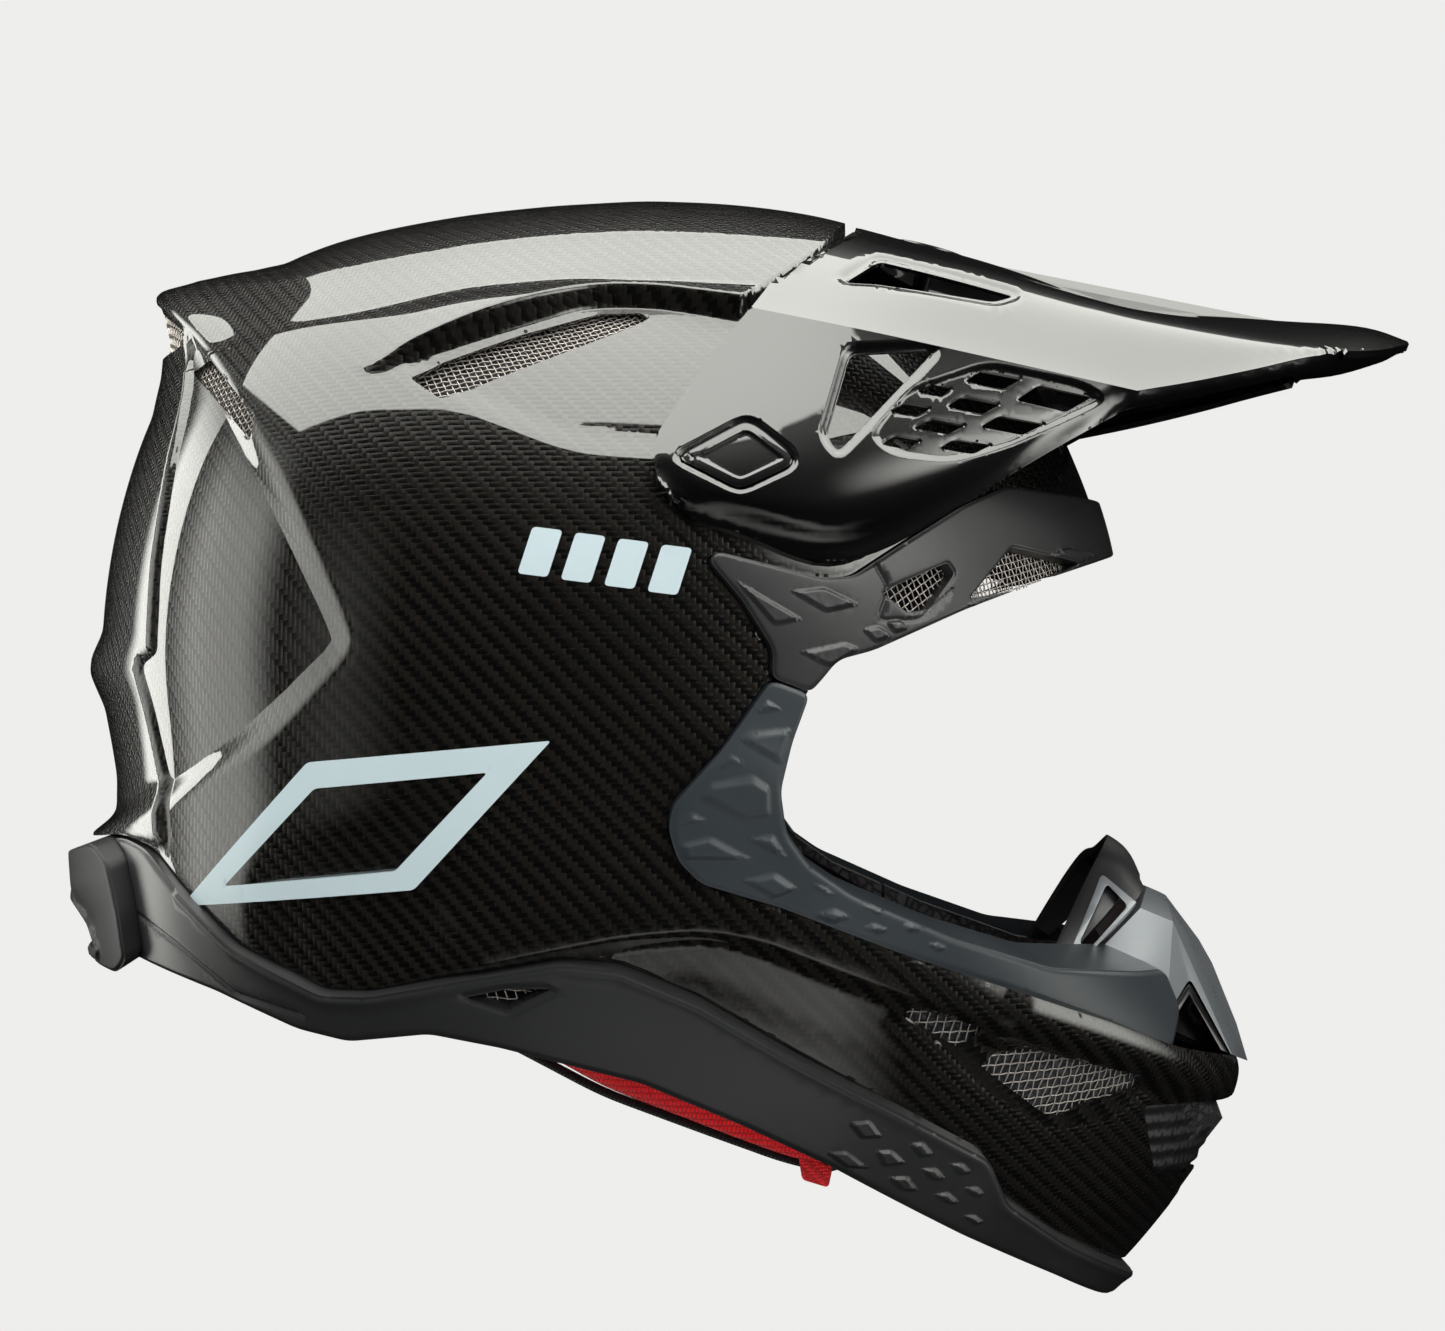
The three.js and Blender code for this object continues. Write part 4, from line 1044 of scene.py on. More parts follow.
def tube(build, path, radius, sides, closed=False):
    """A round bar along a path of points in millimetres."""
    p = np.asarray(path, float)
    count = len(p)
    t = (np.roll(p, -1, 0) - np.roll(p, 1, 0)) if closed else np.gradient(p, axis=0)
    t = unit(t)
    guide = np.tile(np.array([0.31, 0.83, 0.46]), (count, 1))
    a = unit(np.cross(t, guide))
    b = np.cross(t, a)
    angles = np.arange(sides) * 2 * math.pi / sides
    n = a[:, None, :] * np.cos(angles)[:, None] + b[:, None, :] * np.sin(angles)[:, None]
    points = (p[:, None, :] + n * radius).reshape(-1, 3)
    length = np.concatenate([[0], np.cumsum(np.linalg.norm(np.diff(p, axis=0), axis=1))])
    uv = np.stack([np.repeat(length, sides), np.tile(angles * radius, count)], 1)
    faces = []
    for i in range(count if closed else count - 1):
        j = (i + 1) % count
        for k in range(sides):
            m = (k + 1) % sides
            faces.append((i * sides + k, i * sides + m, j * sides + m, j * sides + k))
    if not closed:
        faces.append(tuple(range(sides))[::-1])
        faces.append(tuple((count - 1) * sides + k for k in range(sides)))
    build.add(points, faces, n.reshape(-1, 3), uv)


# ---------------------------------------------------------------- rubber trims
BROW_SHAPES = [
    [(38, 22.5), (56, 12), (48.5, 10.5)], [(52.5, 19.5), (61.5, 20.5), (71, 16), (62, 14)],
    [(78, 11.5), (81.5, 12.5), (84, 9.5), (80, 8.5)], [(71.5, 9.5), (76, 10.5), (80, 7.5), (75, 6)],
    [(99.5, 16.2), (104, 17.5), (103, 15.6)], [(55, 3.5), (67, 6), (71, 4.5), (64, 0), (62, 0)],
    [(118, 27), (128, 32), (140, 31), (126, 25)],
]
GASKET_SHAPES = [
    [(44, -12.5), (46.5, -9), (50.5, -11.5)], [(39.5, -19.5), (42, -17.5), (53, -16.5), (50, -25.5)],
    [(34.5, -27), (37, -23.5), (41, -25.5)],
    [(29.5, -35), (32, -31), (43, -29), (47.5, -32), (48, -40), (41, -41)],
    [(24, -42.5), (27, -38.5), (31.5, -41)], [(41.5, -45.5), (48.5, -44.5), (52.5, -51), (51, -51)],
    [(24, -47), (32, -45), (44, -51.5), (25, -51)], [(40, -56.5), (49, -54.5), (55.5, -59), (48.5, -61.5)],
    [(58, -57), (62.5, -58.5), (65, -60.5), (62.5, -61)],
    [(59, -65.5), (64.5, -64), (69.5, -66.5), (64, -68)],
    [(71, -63.2), (74.5, -63.5), (77.5, -65), (76, -66)],
    [(71.5, -69.5), (75, -68), (79.5, -70), (76, -71)], [(82, -69), (85, -68), (88.5, -70), (84.5, -70.7)],
    [(89, -74), (92, -73.5), (95, -75), (92.5, -76)],
]
BASE_SHAPES = [
    [(68.5, -121.5), (74.5, -121), (78, -126), (72, -126)],
    [(62.5, -129.5), (68.5, -129.5), (74.5, -134.5), (68, -134)],
    [(76, -129.5), (80.5, -129.5), (84.5, -133.5), (78, -134)],
    [(85, -128), (89, -127.5), (92, -131.5), (88, -132)],
    [(79.5, -137), (85, -137), (88, -141.5), (83, -141)],
    [(88, -135), (92.5, -135), (95.5, -138.5), (91.5, -138.5)],
    [(96, -134), (100, -134), (102.5, -137), (99, -137.5)],
    [(92, -142.5), (96, -142), (99.5, -145.5), (96, -145.5)],
    [(100, -141), (104, -141), (106.5, -143.5), (103.5, -144)],
    [(100, -149), (103.5, -149), (106.5, -151.5), (103.5, -152)],
]
GASKET_SEEN = [*GASKET[:10], (158, -84), (163, -96), *GASKET[12:]]
BASE = [*BASE_TOP, *BASE_BOTTOM[::-1]]
SPOILER = [
    (-165, -50), (-150, -53), (-141, -48.5), (-133, -46.5), (-128.5, -52), (-126, -66), (-124.5, -78),
    (-128, -82), (-140, -80), (-150, -79), (-165, -78),
]
SPOILER_HOLE = [(-147, -61), (-140, -62.5), (-133.5, -76.5), (-142, -75)]


LOZENGE_HEIGHT = 0.9
TRIM_MESH = 2.4


def trim(name, outline, holes, shapes, material, out=TRIM_OUT, depth=17, radius=2.5, more=None, lines=(),
         edge=1.0):
    """A moulded trim on the shell's face, with raised lozenges and what more() adds to its relief."""
    zone = trim_line(outline, 0.0, radius)
    low, high = zone.min(0) - 4, zone.max(0) + 4
    relief = Relief(low, high, 0.3)
    raised = [on_dome(s, 1.0, 1.2) for s in shapes]
    for line in raised:
        relief.raise_inside(line, LOZENGE_HEIGHT, 0.75, 0.15)
    if more is not None:
        more(relief)
    extra = [moved_out(line, d) for line in raised for d in (-0.95, -0.5, -0.05, 0.4)]
    paths = [rounded(line, 2, 1.2, False) for line in lines]
    extra += [DOME.locate(path + [0, d]) for path in paths for d in (-1.2, -0.5, 0, 0.5, 1.2)]
    cuts = [on_dome(h, 1.2) for h in holes]
    half = panel(DOME, zone, cuts, TRIM_MESH, out, depth, relief, edge, extra, (tuple(low), tuple(high)))
    half.join(half.mirrored())
    return half.make(name, material)


BROW_LINE = [(74, 29), (79, 20), (76, 12), (87, 12), (96, 20)]
BASE_LINE = [(-144, -66), (-128, -66), (-112, -76), (-96, -88), (-78, -93)]


def brow_detail(relief):
    relief.ridge(on_dome(BROW_LINE, 2, 1.2, False), -0.7, 0.9)


def base_detail(relief):
    relief.ridge(on_dome(BASE_LINE, 2, 1.2, False), -0.8, 1.0)
    relief.ridge(on_dome(BASE_TOP[3:], 2, closed=False), 0.9, 3.0)


def spoiler_detail(relief):
    relief.raise_inside(moved_out(on_dome(SPOILER_HOLE, 1.5, 1.0), 3.2), 1.2, 0.8, 0.2)


def make_trims():
    brow = trim("brow_trim_rubber", BROW, BROW_VENTS, BROW_SHAPES, BLACK_RUBBER, more=brow_detail,
                lines=[BROW_LINE])
    settle(brow, "helmet", "black_rubber", "brow_trim")
    gasket = trim("eye_port_gasket_rubber", GASKET_SEEN, [], GASKET_SHAPES, GREY_RUBBER)
    settle(gasket, "helmet", "satin_grey_rubber", "eye_port_gasket")
    base = trim("base_trim_rubber", BASE, [BASE_VENT, SPOILER], BASE_SHAPES, BLACK_RUBBER, depth=15,
                more=base_detail, lines=[BASE_LINE], edge=1.6)
    settle(base, "helmet", "black_rubber", "base_trim")
    spoiler = trim("exhaust_spoiler_plastic", SPOILER, [SPOILER_HOLE], [], MATTE_PLASTIC, 8.5, 20, 2.0,
                   more=spoiler_detail, edge=1.4)
    settle(spoiler, "helmet", "matte_black_plastic", "rear_exhaust_spoiler")


make_trims()


# ---------------------------------------------------------------- woven vent meshes
WIRE_PITCH = 1.75
WIRE_RADIUS = 0.2


def woven(outline, out, angle, grow):
    """Plain-woven wire over the outline, set at that offset from the shell's face."""
    zone = DOME.locate(moved_out(rounded(outline, 1.0, 1.5), grow))
    centre = zone.mean(0)
    reach = np.linalg.norm(zone - centre, axis=1).max() + 2
    a = math.radians(angle)
    s = np.arange(-reach, reach, WIRE_PITCH / 3)
    build = Build()
    for turn, along in enumerate(np.array([[math.cos(a), math.sin(a)], [-math.sin(a), math.cos(a)]])):
        side = np.array([-along[1], along[0]])
        for k in range(int(-reach / WIRE_PITCH), int(reach / WIRE_PITCH) + 1):
            line = centre + side * (k + 0.5 * turn) * WIRE_PITCH + along * s[:, None]
            ok = inside(line, zone) & DOME.on_right(line)
            starts = np.flatnonzero(np.diff(np.concatenate([[0], ok.astype(int), [0]])))
            above = 1 if (k + turn) % 2 else -1
            wave = np.cos(math.pi * (s / WIRE_PITCH + (0 if turn else 0.5))) * above * WIRE_RADIUS * 0.9
            for i, j in zip(starts[::2], starts[1::2]):
                if j - i < 3:
                    continue
                middle = DOME.point(line[i:j], out)
                n = unit(middle - DOME.point(line[i:j], out - 1))
                tube(build, middle + n * wave[i:j, None], WIRE_RADIUS, 5)
    return build


VENT_PARTS = [
    ("top_vent_mesh", TOP_VENT, -4.4, 27), ("rear_upper_vent_mesh", REAR_VENT_UPPER, -4.0, 10),
    ("rear_lower_vent_mesh", REAR_VENT_LOWER, -4.8, 40), ("chin_rear_vent_mesh", CHIN_VENT_REAR, -4.6, -12),
    ("chin_front_vent_mesh", CHIN_VENT_FRONT, -4.6, -12), ("base_vent_mesh", BASE_VENT, -2.0, 12),
    ("brow_vent_mesh_rear", BROW_VENTS[0], -2.0, 30), ("brow_vent_mesh_front", BROW_VENTS[1], -2.0, 15),
]
for node, outline, depth, angle in VENT_PARTS:
    half = woven(outline, depth, angle, 1.2 if depth < -2.5 else 0.2)
    for side in ("right", "left"):
        piece = (half if side == "right" else half.mirrored()).make(f"{node}_{side}_wire", WIRE)
        settle(piece, "helmet", "steel_mesh", f"{node}_{side}")


# ---------------------------------------------------------------- peak
def curve(points, count):
    """A smooth curve through the points, sampled evenly."""
    p = np.asarray(points, float)
    knots = np.concatenate([[0], np.cumsum(np.linalg.norm(np.diff(p, axis=0), axis=1) ** 0.5)])
    slopes = np.empty_like(p)
    for i in range(len(p)):
        if i == 0:
            slopes[i] = (p[1] - p[0]) / (knots[1] - knots[0])
        elif i == len(p) - 1:
            slopes[i] = (p[-1] - p[-2]) / (knots[-1] - knots[-2])
        else:
            h0, h1 = knots[i] - knots[i - 1], knots[i + 1] - knots[i]
            slopes[i] = ((p[i] - p[i - 1]) / h0 * h1 + (p[i + 1] - p[i]) / h1 * h0) / (h0 + h1)
    fine = []
    for i in range(len(p) - 1):
        h = knots[i + 1] - knots[i]
        for t in np.linspace(0, 1, 24, i == len(p) - 2):
            fine.append((2 * t ** 3 - 3 * t * t + 1) * p[i] + (t ** 3 - 2 * t * t + t) * h * slopes[i]
                        + (3 * t * t - 2 * t ** 3) * p[i + 1] + (t ** 3 - t * t) * h * slopes[i + 1])
    fine = np.array(fine)
    length = np.concatenate([[0], np.cumsum(np.linalg.norm(np.diff(fine, axis=0), axis=1))])
    at = np.linspace(0, length[-1], count)
    return np.stack([np.interp(at, length, fine[:, k]) for k in range(3)], 1)


RAILS = [
    [[(77, 0, 125.5), (110, 0, 117), (136, 0, 108.5)],
     [(136, 0, 108.5), (150, 0, 104), (190, 0, 100), (222, 0, 97.5), (234, 0, 93)]],
    [[(76, -40, 122), (108, -42, 113), (134, -42, 105)],
     [(134, -42, 105), (150, -41, 101), (190, -36, 97), (219, -32, 94.5), (230, -30, 91.5)]],
    [[(68, -68, 115), (100, -76, 108.5), (136, -76, 99)],
     [(136, -76, 99), (150, -75, 96), (178, -70, 91.5), (200, -62, 89), (212, -56, 88)]],
    [[(43, -100, 97), (78, -106, 89.5), (148, -98, 74.5)],
     [(148, -98, 74.5), (164, -90, 77.5), (182, -80, 81.5), (198, -68, 85.5), (209, -58, 87)]],
    [[(17.5, -125.5, 53), (64, -124.5, 48.5), (147, -97.5, 72)],
     [(147, -97.5, 72), (163, -89, 75), (181, -79, 79), (197, -67, 83), (208, -56.5, 85)]],
    [[(20, -125.3, 46), (28, -125, 39), (39, -124, 35.5), (56, -122.5, 29), (66, -121, 27.5), (79, -118, 31),
      (102, -112, 44.5), (130.5, -104, 61.5), (146, -96, 69.5)],
     [(146, -96, 69.5), (162, -87, 72.5), (180, -77, 76.5), (196, -65, 80.5), (207, -54.5, 83)]],
]
RAIL_REAR, RAIL_FRONT = 29, 24


def rail_points(k):
    rear, front = RAILS[k]
    return np.concatenate([curve(rear, RAIL_REAR), curve(front, RAIL_FRONT)[1:]])


class Field:
    """A patch through rails, as a height over the plane of X and that axis. The sign turns the axis into V."""

    def __init__(self, rails, axis, sign, right_sign, low, high, shared, cut=None):
        self.rails = np.array(rails)
        self.axis, self.sign, self.right_sign = axis, sign, right_sign
        self.other = 3 - axis
        self.shared, self.cut_line = shared, cut
        self.relief = Relief(low, high, 1.0)
        _, nodes, shape = self.relief.window(np.array([low, high], float), 0)
        self.relief.grid = self.third(nodes).reshape(shape)

    def loft(self, s, t):
        """Points on the loft: s runs along the rails in samples, t across them in rails."""
        def blend(x, count):
            i = np.clip(np.floor(x).astype(int), 0, count - 2)
            f = np.clip(x - i, -1.5, 2.5)
            straight = [0 * f, 1 - f, f, 0 * f]
            far = (f < 0) | (f > 1)
            return i, [np.where(far, b, a) for a, b in zip(cubic_weights(f), straight)]

        count_t, count_s = self.rails.shape[:2]
        i, ws = blend(s, count_s)
        j, wt = blend(t, count_t)
        total = np.zeros((len(s), 3))
        for a in range(4):
            for b in range(4):
                def row(index):
                    return self.rails[index, np.clip(i + a - 1, 0, count_s - 1)]
                k = j + b - 1
                value = row(np.clip(k, 0, count_t - 1))
                below, above = k < 0, k > count_t - 1
                first, last = np.zeros_like(k), np.full_like(k, count_t - 1)
                value = np.where(below[:, None], 2 * row(first) - row(first + 1), value)
                value = np.where(above[:, None], 2 * row(last) - row(last - 1), value)
                total += value * (ws[a] * wt[b])[:, None]
        return total

    def solve(self, target, axes):
        """Where on the loft the two coordinates have those values."""
        count_t, count_s = self.rails.shape[:2]
        gs, gt = np.meshgrid(np.arange(0, count_s, 1.0), np.arange(0, count_t - 0.99, 0.2), indexing="ij")
        gs, gt = gs.ravel(), gt.ravel()
        seeds = self.loft(gs, gt)[:, axes]
        best = np.empty(len(target), int)
        for block in np.array_split(np.arange(len(target)), len(target) // 2000 + 1):
            d = ((target[block, None, :] - seeds) ** 2).sum(2)
            best[block] = d.argmin(1)
        s, t = gs[best], gt[best]
        for _ in range(6):
            here = self.loft(s, t)[:, axes]
            ds = (self.loft(s + 0.05, t)[:, axes] - self.loft(s - 0.05, t)[:, axes]) / 0.1
            dt = (self.loft(s, t + 0.01)[:, axes] - self.loft(s, t - 0.01)[:, axes]) / 0.02
            miss = target - here
            det = ds[:, 0] * dt[:, 1] - ds[:, 1] * dt[:, 0]
            det = np.where(np.abs(det) < 1e-3, 1e-3, det)
            step_s = (miss[:, 0] * dt[:, 1] - miss[:, 1] * dt[:, 0]) / det
            step_t = (ds[:, 0] * miss[:, 1] - ds[:, 1] * miss[:, 0]) / det
            s = np.clip(s + np.clip(step_s, -4, 4), -3, count_s + 2)
            t = np.clip(t + np.clip(step_t, -0.6, 0.6), -0.6, count_t - 0.4)
        return s, t

    def third(self, nodes):
        target = nodes * [1, self.sign]
        s, t = self.solve(target, [0, self.axis])
        return self.loft(s, t)[:, self.other]

    def point(self, uv, out=0.0):
        def base(q):
            p = np.empty((len(q), 3))
            p[:, 0], p[:, self.axis], p[:, self.other] = q[:, 0], q[:, 1] * self.sign, self.relief.sample(q)
            return p

        here = base(uv)
        return here + facing(base, uv, 0.4, self.right_sign) * out if out else here

    def texture(self, uv):
        return uv

    def cut(self):
        return self.cut_line

    def on_right(self, uv):
        return uv[:, 1] > 0 if self.cut_line is not None else np.ones(len(uv), bool)

    def on_cut(self, uv):
        near = distance(uv, self.shared, False) < 0.05
        if self.cut_line is not None:
            near |= np.abs(uv[:, 1]) < 1e-3
        return near


R = [rail_points(k) for k in range(6)]
side_top = densified([(x, z) for x, y, z in R[3]], 1.5, False)
side_bottom = [(x, z) for x, y, z in R[5]]
SIDE_REAR = [(18.5, 50), (17, 56), (18, 62), (24, 71.5), (33.5, 85)]
SIDE = Field(R[3:], 2, 1, 1.0, (8, 18), (216, 106), side_top)
SIDE_OUTLINE = densified([*side_top.tolist(), (208, 85), *side_bottom[::-1], *SIDE_REAR], 1.5)
deck_edge = densified([(x, -y) for x, y, z in R[3]], 1.5, False)
DECK = Field([R[1] * [1, -1, 1], *R[:4]], 1, -1, -1.0, (34, -6), (240, 114), deck_edge,
             np.array([(30.0, 0.0), (245.0, 0.0)]))
tip = curve([(234, 0, 0), (230.5, 28, 0), (221, 46, 0), (209, 58, 0)], 16)[:, :2]
DECK_REAR = [(73.4, -3), (73.3, 12), (71.3, 33), (66.9, 55), (61.6, 66), (56.3, 74.5), (50.8, 82.5)]
DECK_FRONT = [(234.2, -3), *tip.tolist()]
DECK_OUTLINE = densified([DECK_REAR[0], *DECK_FRONT, *deck_edge[::-1].tolist(), *DECK_REAR[:0:-1]], 1.5)
DIAMONDS = [
    (109, 77.5, 16, 5.2), (125.5, 72.5, 21, 7.4), (93, 74.5, 10, 3.6), (103.5, 70.5, 15, 5),
    (86, 69, 11.5, 3.5), (94, 64.5, 14.5, 4.2), (114, 65, 18, 5.4), (83.5, 60, 11, 3.5),
    (101, 59, 14.5, 4.4),
]
FIELD = [(74, 62), (84, 74.5), (107, 82.5), (134, 77), (141, 72), (112, 58), (96, 54), (80, 56)]
SCOOP = [(70, 84.5), (93, 85.5), (66.5, 57.5), (63.5, 62)]
PEAK_WALL = 2.6
SLOT = [(69, 106), (79, 113), (116, 102.5), (110, 100.5), (78, 105.5)]
CAP = [(23.5, 55.5), (41, 65), (44, 64.5), (54, 56.5), (54, 53.5), (41.5, 47.5), (39, 47.5)]


def diamond(x, z, w, h):
    left, right = (x - w / 2, z - 0.5), (x + w / 2, z + 0.5)
    return rounded([left, (x - w * 0.2, z + h / 2), right, (x + w * 0.15, z - h / 2)], 1.1, 0.9)


def deck_from_side(outline):
    """A side-view outline on the deck, as its plan view."""
    s, t = DECK.solve(np.asarray(outline, float), [0, 2])
    p = DECK.loft(s, np.maximum(t, 1.2))
    return np.stack([p[:, 0], -p[:, 1]], 1)


def lip_line():
    return densified([(43, 97), *SIDE_REAR[::-1], *side_bottom, (209, 87)], 1.5, False)


def peak_side():
    """The peak's flank, with the field of lozenge holes, the scoop and the seat of the pivot cap."""
    low, high = SIDE_OUTLINE.min(0) - 3, SIDE_OUTLINE.max(0) + 3
    relief = Relief(low, high, 0.25)
    field = rounded(FIELD, 5, 1.5)
    relief.raise_inside(field, -0.9, 2.2, 0.3)
    scoop = rounded(SCOOP, 2.2, 1.2)
    relief.raise_inside(moved_out(scoop, 2.6), -1.3, 2.4, 0.2)
    lip = densified(side_bottom, 1.5, False)
    relief.ridge(lip + [0, 5], -0.7, 5)
    cap_hole = moved_out(rounded(CAP, 2.5, 1.2), 0.4)
    relief.raise_inside(moved_out(cap_hole, 1.4), -0.5, 0.8, 0.2)
    offsets = (-2.2, -1.6, -1.1, -0.6, -0.2, 0.3, 0.8, 1.6, 2.2, 2.6, 3.0)
    extra = [moved_out(o, d) for o in (field, scoop) for d in offsets]
    extra += [moved_out(cap_hole, d) for d in (0.5, 0.8, 1.1, 1.4, 1.8)]
    holes = [*(diamond(*d) for d in DIAMONDS), scoop, cap_hole]
    box = (tuple(low), tuple(high))
    return panel(SIDE, SIDE_OUTLINE, holes, 2.2, 0.0, PEAK_WALL, relief, 0.7, extra, box,
                 rounding=[*holes, lip_line()])


def peak_deck():
    """The peak's top, with its slot and the round seat of the screw."""
    low, high = DECK_OUTLINE.min(0) - 3, DECK_OUTLINE.max(0) + 3
    relief = Relief(low, high, 0.3)
    slot = deck_from_side(rounded(SLOT, 2.0, 1.5))
    relief.raise_inside(moved_out(slot, 3.0), -1.0, 2.2, 0.3)
    spine = densified([(84, 16), (120, 15), (170, 12), (228, 6)], 1.5, False)
    relief.ridge(spine, -0.8, 5)
    around = np.linspace(0, 2 * math.pi, 60, False)
    dish = np.array([(96 + 9.4 * math.cos(a), 9.4 * math.sin(a)) for a in around])
    extra = [moved_out(slot, d) for d in (-0.5, 0.8, 2.0, 3.0)]
    box = (tuple(low), tuple(high))
    rear = np.array([*DECK_REAR, (43, 100)], float)
    return panel(DECK, DECK_OUTLINE, [slot, dish], 2.8, 0.0, PEAK_WALL, relief, 0.7, extra, box,
                 rounding=[slot, dish, rear, tip])


def make_peak():
    peak = peak_side()
    peak.join(peak_deck())
    peak.join(peak.mirrored())
    settle(peak.make("peak_gloss", GLOSS), "peak", "gloss_black", "peak")


def make_caps():
    outline = rounded(CAP, 2.5, 1.2)
    low, high = outline.min(0) - 3, outline.max(0) + 3
    relief = Relief(low, high, 0.2)
    relief.raise_inside(moved_out(outline, -2.2), -0.35, 0.7, 0.1)
    extra = [moved_out(outline, d) for d in (-1.4, -1.9, -2.2, -2.5, -2.9, -3.5)]
    # a cap stands free, so no part of its rim lies on the line that the flank shares with the top
    SIDE.shared = np.array([(0.0, 900.0), (1.0, 900.0)])
    half = panel(SIDE, outline, [], 2.4, 0.0, 2.4, relief, 0.5, extra, (tuple(low), tuple(high)))
    for side in ("right", "left"):
        piece = (half if side == "right" else half.mirrored()).make(f"pivot_cap_{side}_gloss", GLOSS)
        settle(piece, "peak", "gloss_black", f"peak_pivot_cap_{side}")


make_peak()


make_caps()


# ---------------------------------------------------------------- chin vent, intakes, grille and nose guard
CHIN_HULL = [
    (157, 18, -63.5), (163, 12, -66), (168, 9, -72.5), (173, 7, -79), (177, 6, -86), (184, 6, -103.4),
    (187, 8, -114), (153.5, 40, -68.5), (163, 36, -72.5), (134, 54, -86.5), (132, 50, -92), (149, 52, -96),
    (160, 47, -101.5), (181, 24, -111),
]
INTAKE = [(168, -88.5), (181.5, -112.5), (160, -108.5), (156.5, -104)]
RIDGE_CUT = [
    (150, 60, -103), (182, 12, -118), (150, 60, -106), (182, 12, -122), (170, 70, -103), (200, 30, -118),
    (170, 70, -106), (200, 30, -122),
]


def closed_dome(name, out):
    """The dome at that offset as a plain closed body, to cut with."""
    angles = np.radians(np.arange(0, 360, 4.0))
    rings = [np.stack([np.cos(angles), np.sin(angles)], 1) * DOME.rim * s for s in np.linspace(0.04, 1, 18)]
    points = [p for ring in rings for p in DOME.point(ring, out)]
    right = len(points)
    points += [p * [1, -1, 1] for ring in rings[:-1] for p in DOME.point(ring, out)]
    n, rows, faces = len(angles), len(rings), []
    for i in range(rows - 1):
        for k in range(n):
            m = (k + 1) % n
            faces.append((i * n + k, (i + 1) * n + k, (i + 1) * n + m, i * n + m))

    def left(i, k):
        return (rows - 1) * n + k if i == rows - 1 else right + i * n + k

    for i in range(rows - 1):
        for k in range(n):
            m = (k + 1) % n
            faces.append((left(i, m), left(i + 1, m), left(i + 1, k), left(i, k)))
    faces += [tuple(range(n)), tuple(right + k for k in range(n))[::-1]]
    return closed_body(name, points, faces)


def make_chin():
    body = hull_of("chin_vent_plastic", both_sides(CHIN_HULL))
    cut_by(body, closed_dome("dome_cut", -14))
    for sign in (-1, 1):
        y = sorted((sign * 11, sign * 58))
        cut_by(body, side_prism("intake_cut", rounded(INTAKE, 2.2, 3).tolist(), *y))
        cut_by(body, hull_of("ridge_cut", [(x, sign * y, z) for x, y, z in RIDGE_CUT]))
    bevelled(body, 1.1, 3, 18)
    settle(finished(body, GREY_PLASTIC, 40), "helmet", "satin_grey_plastic", "chin_vent_body")
    liner = moved_out(np.array(INTAKE), -0.6)
    recess = moved_out(np.array(INTAKE), -2.4)
    for side, sign in (("right", -1), ("left", 1)):
        insert = hull_of(f"intake_{side}_insert", both_sides(CHIN_HULL))
        y = sorted((sign * 12, sign * 57))
        cut_by(insert, side_prism("intake_keep", rounded(liner.tolist(), 1.8, 3).tolist(), *y), "INTERSECT")
        cut_by(insert, closed_dome("dome_cut", -13))
        tool = hull_of("recess", [(x, sign * reach, z) for x, z in recess for reach in (60, 8)])
        keep_back = [(x * 0.972, y * 0.93, z * 0.985) for x, y, z in both_sides(CHIN_HULL)]
        cut_by(tool, hull_of("keep_back", keep_back))
        cut_by(insert, tool)
        bevelled(insert, 0.5, 2, 24)
        settle(finished(insert, GLOSS, 36), "helmet", "gloss_black", f"chin_intake_{side}")


make_chin()

NOSE_ROWS = [
    [(127, -55.5, -82), (133, -54.5, -85.3)], [(141, -31, -57), (152, -42.5, -66.5)],
    [(144, -14, -54), (154, -20, -61.5)], [(146.5, 0, -50), (155, 0, -60.5)],
]


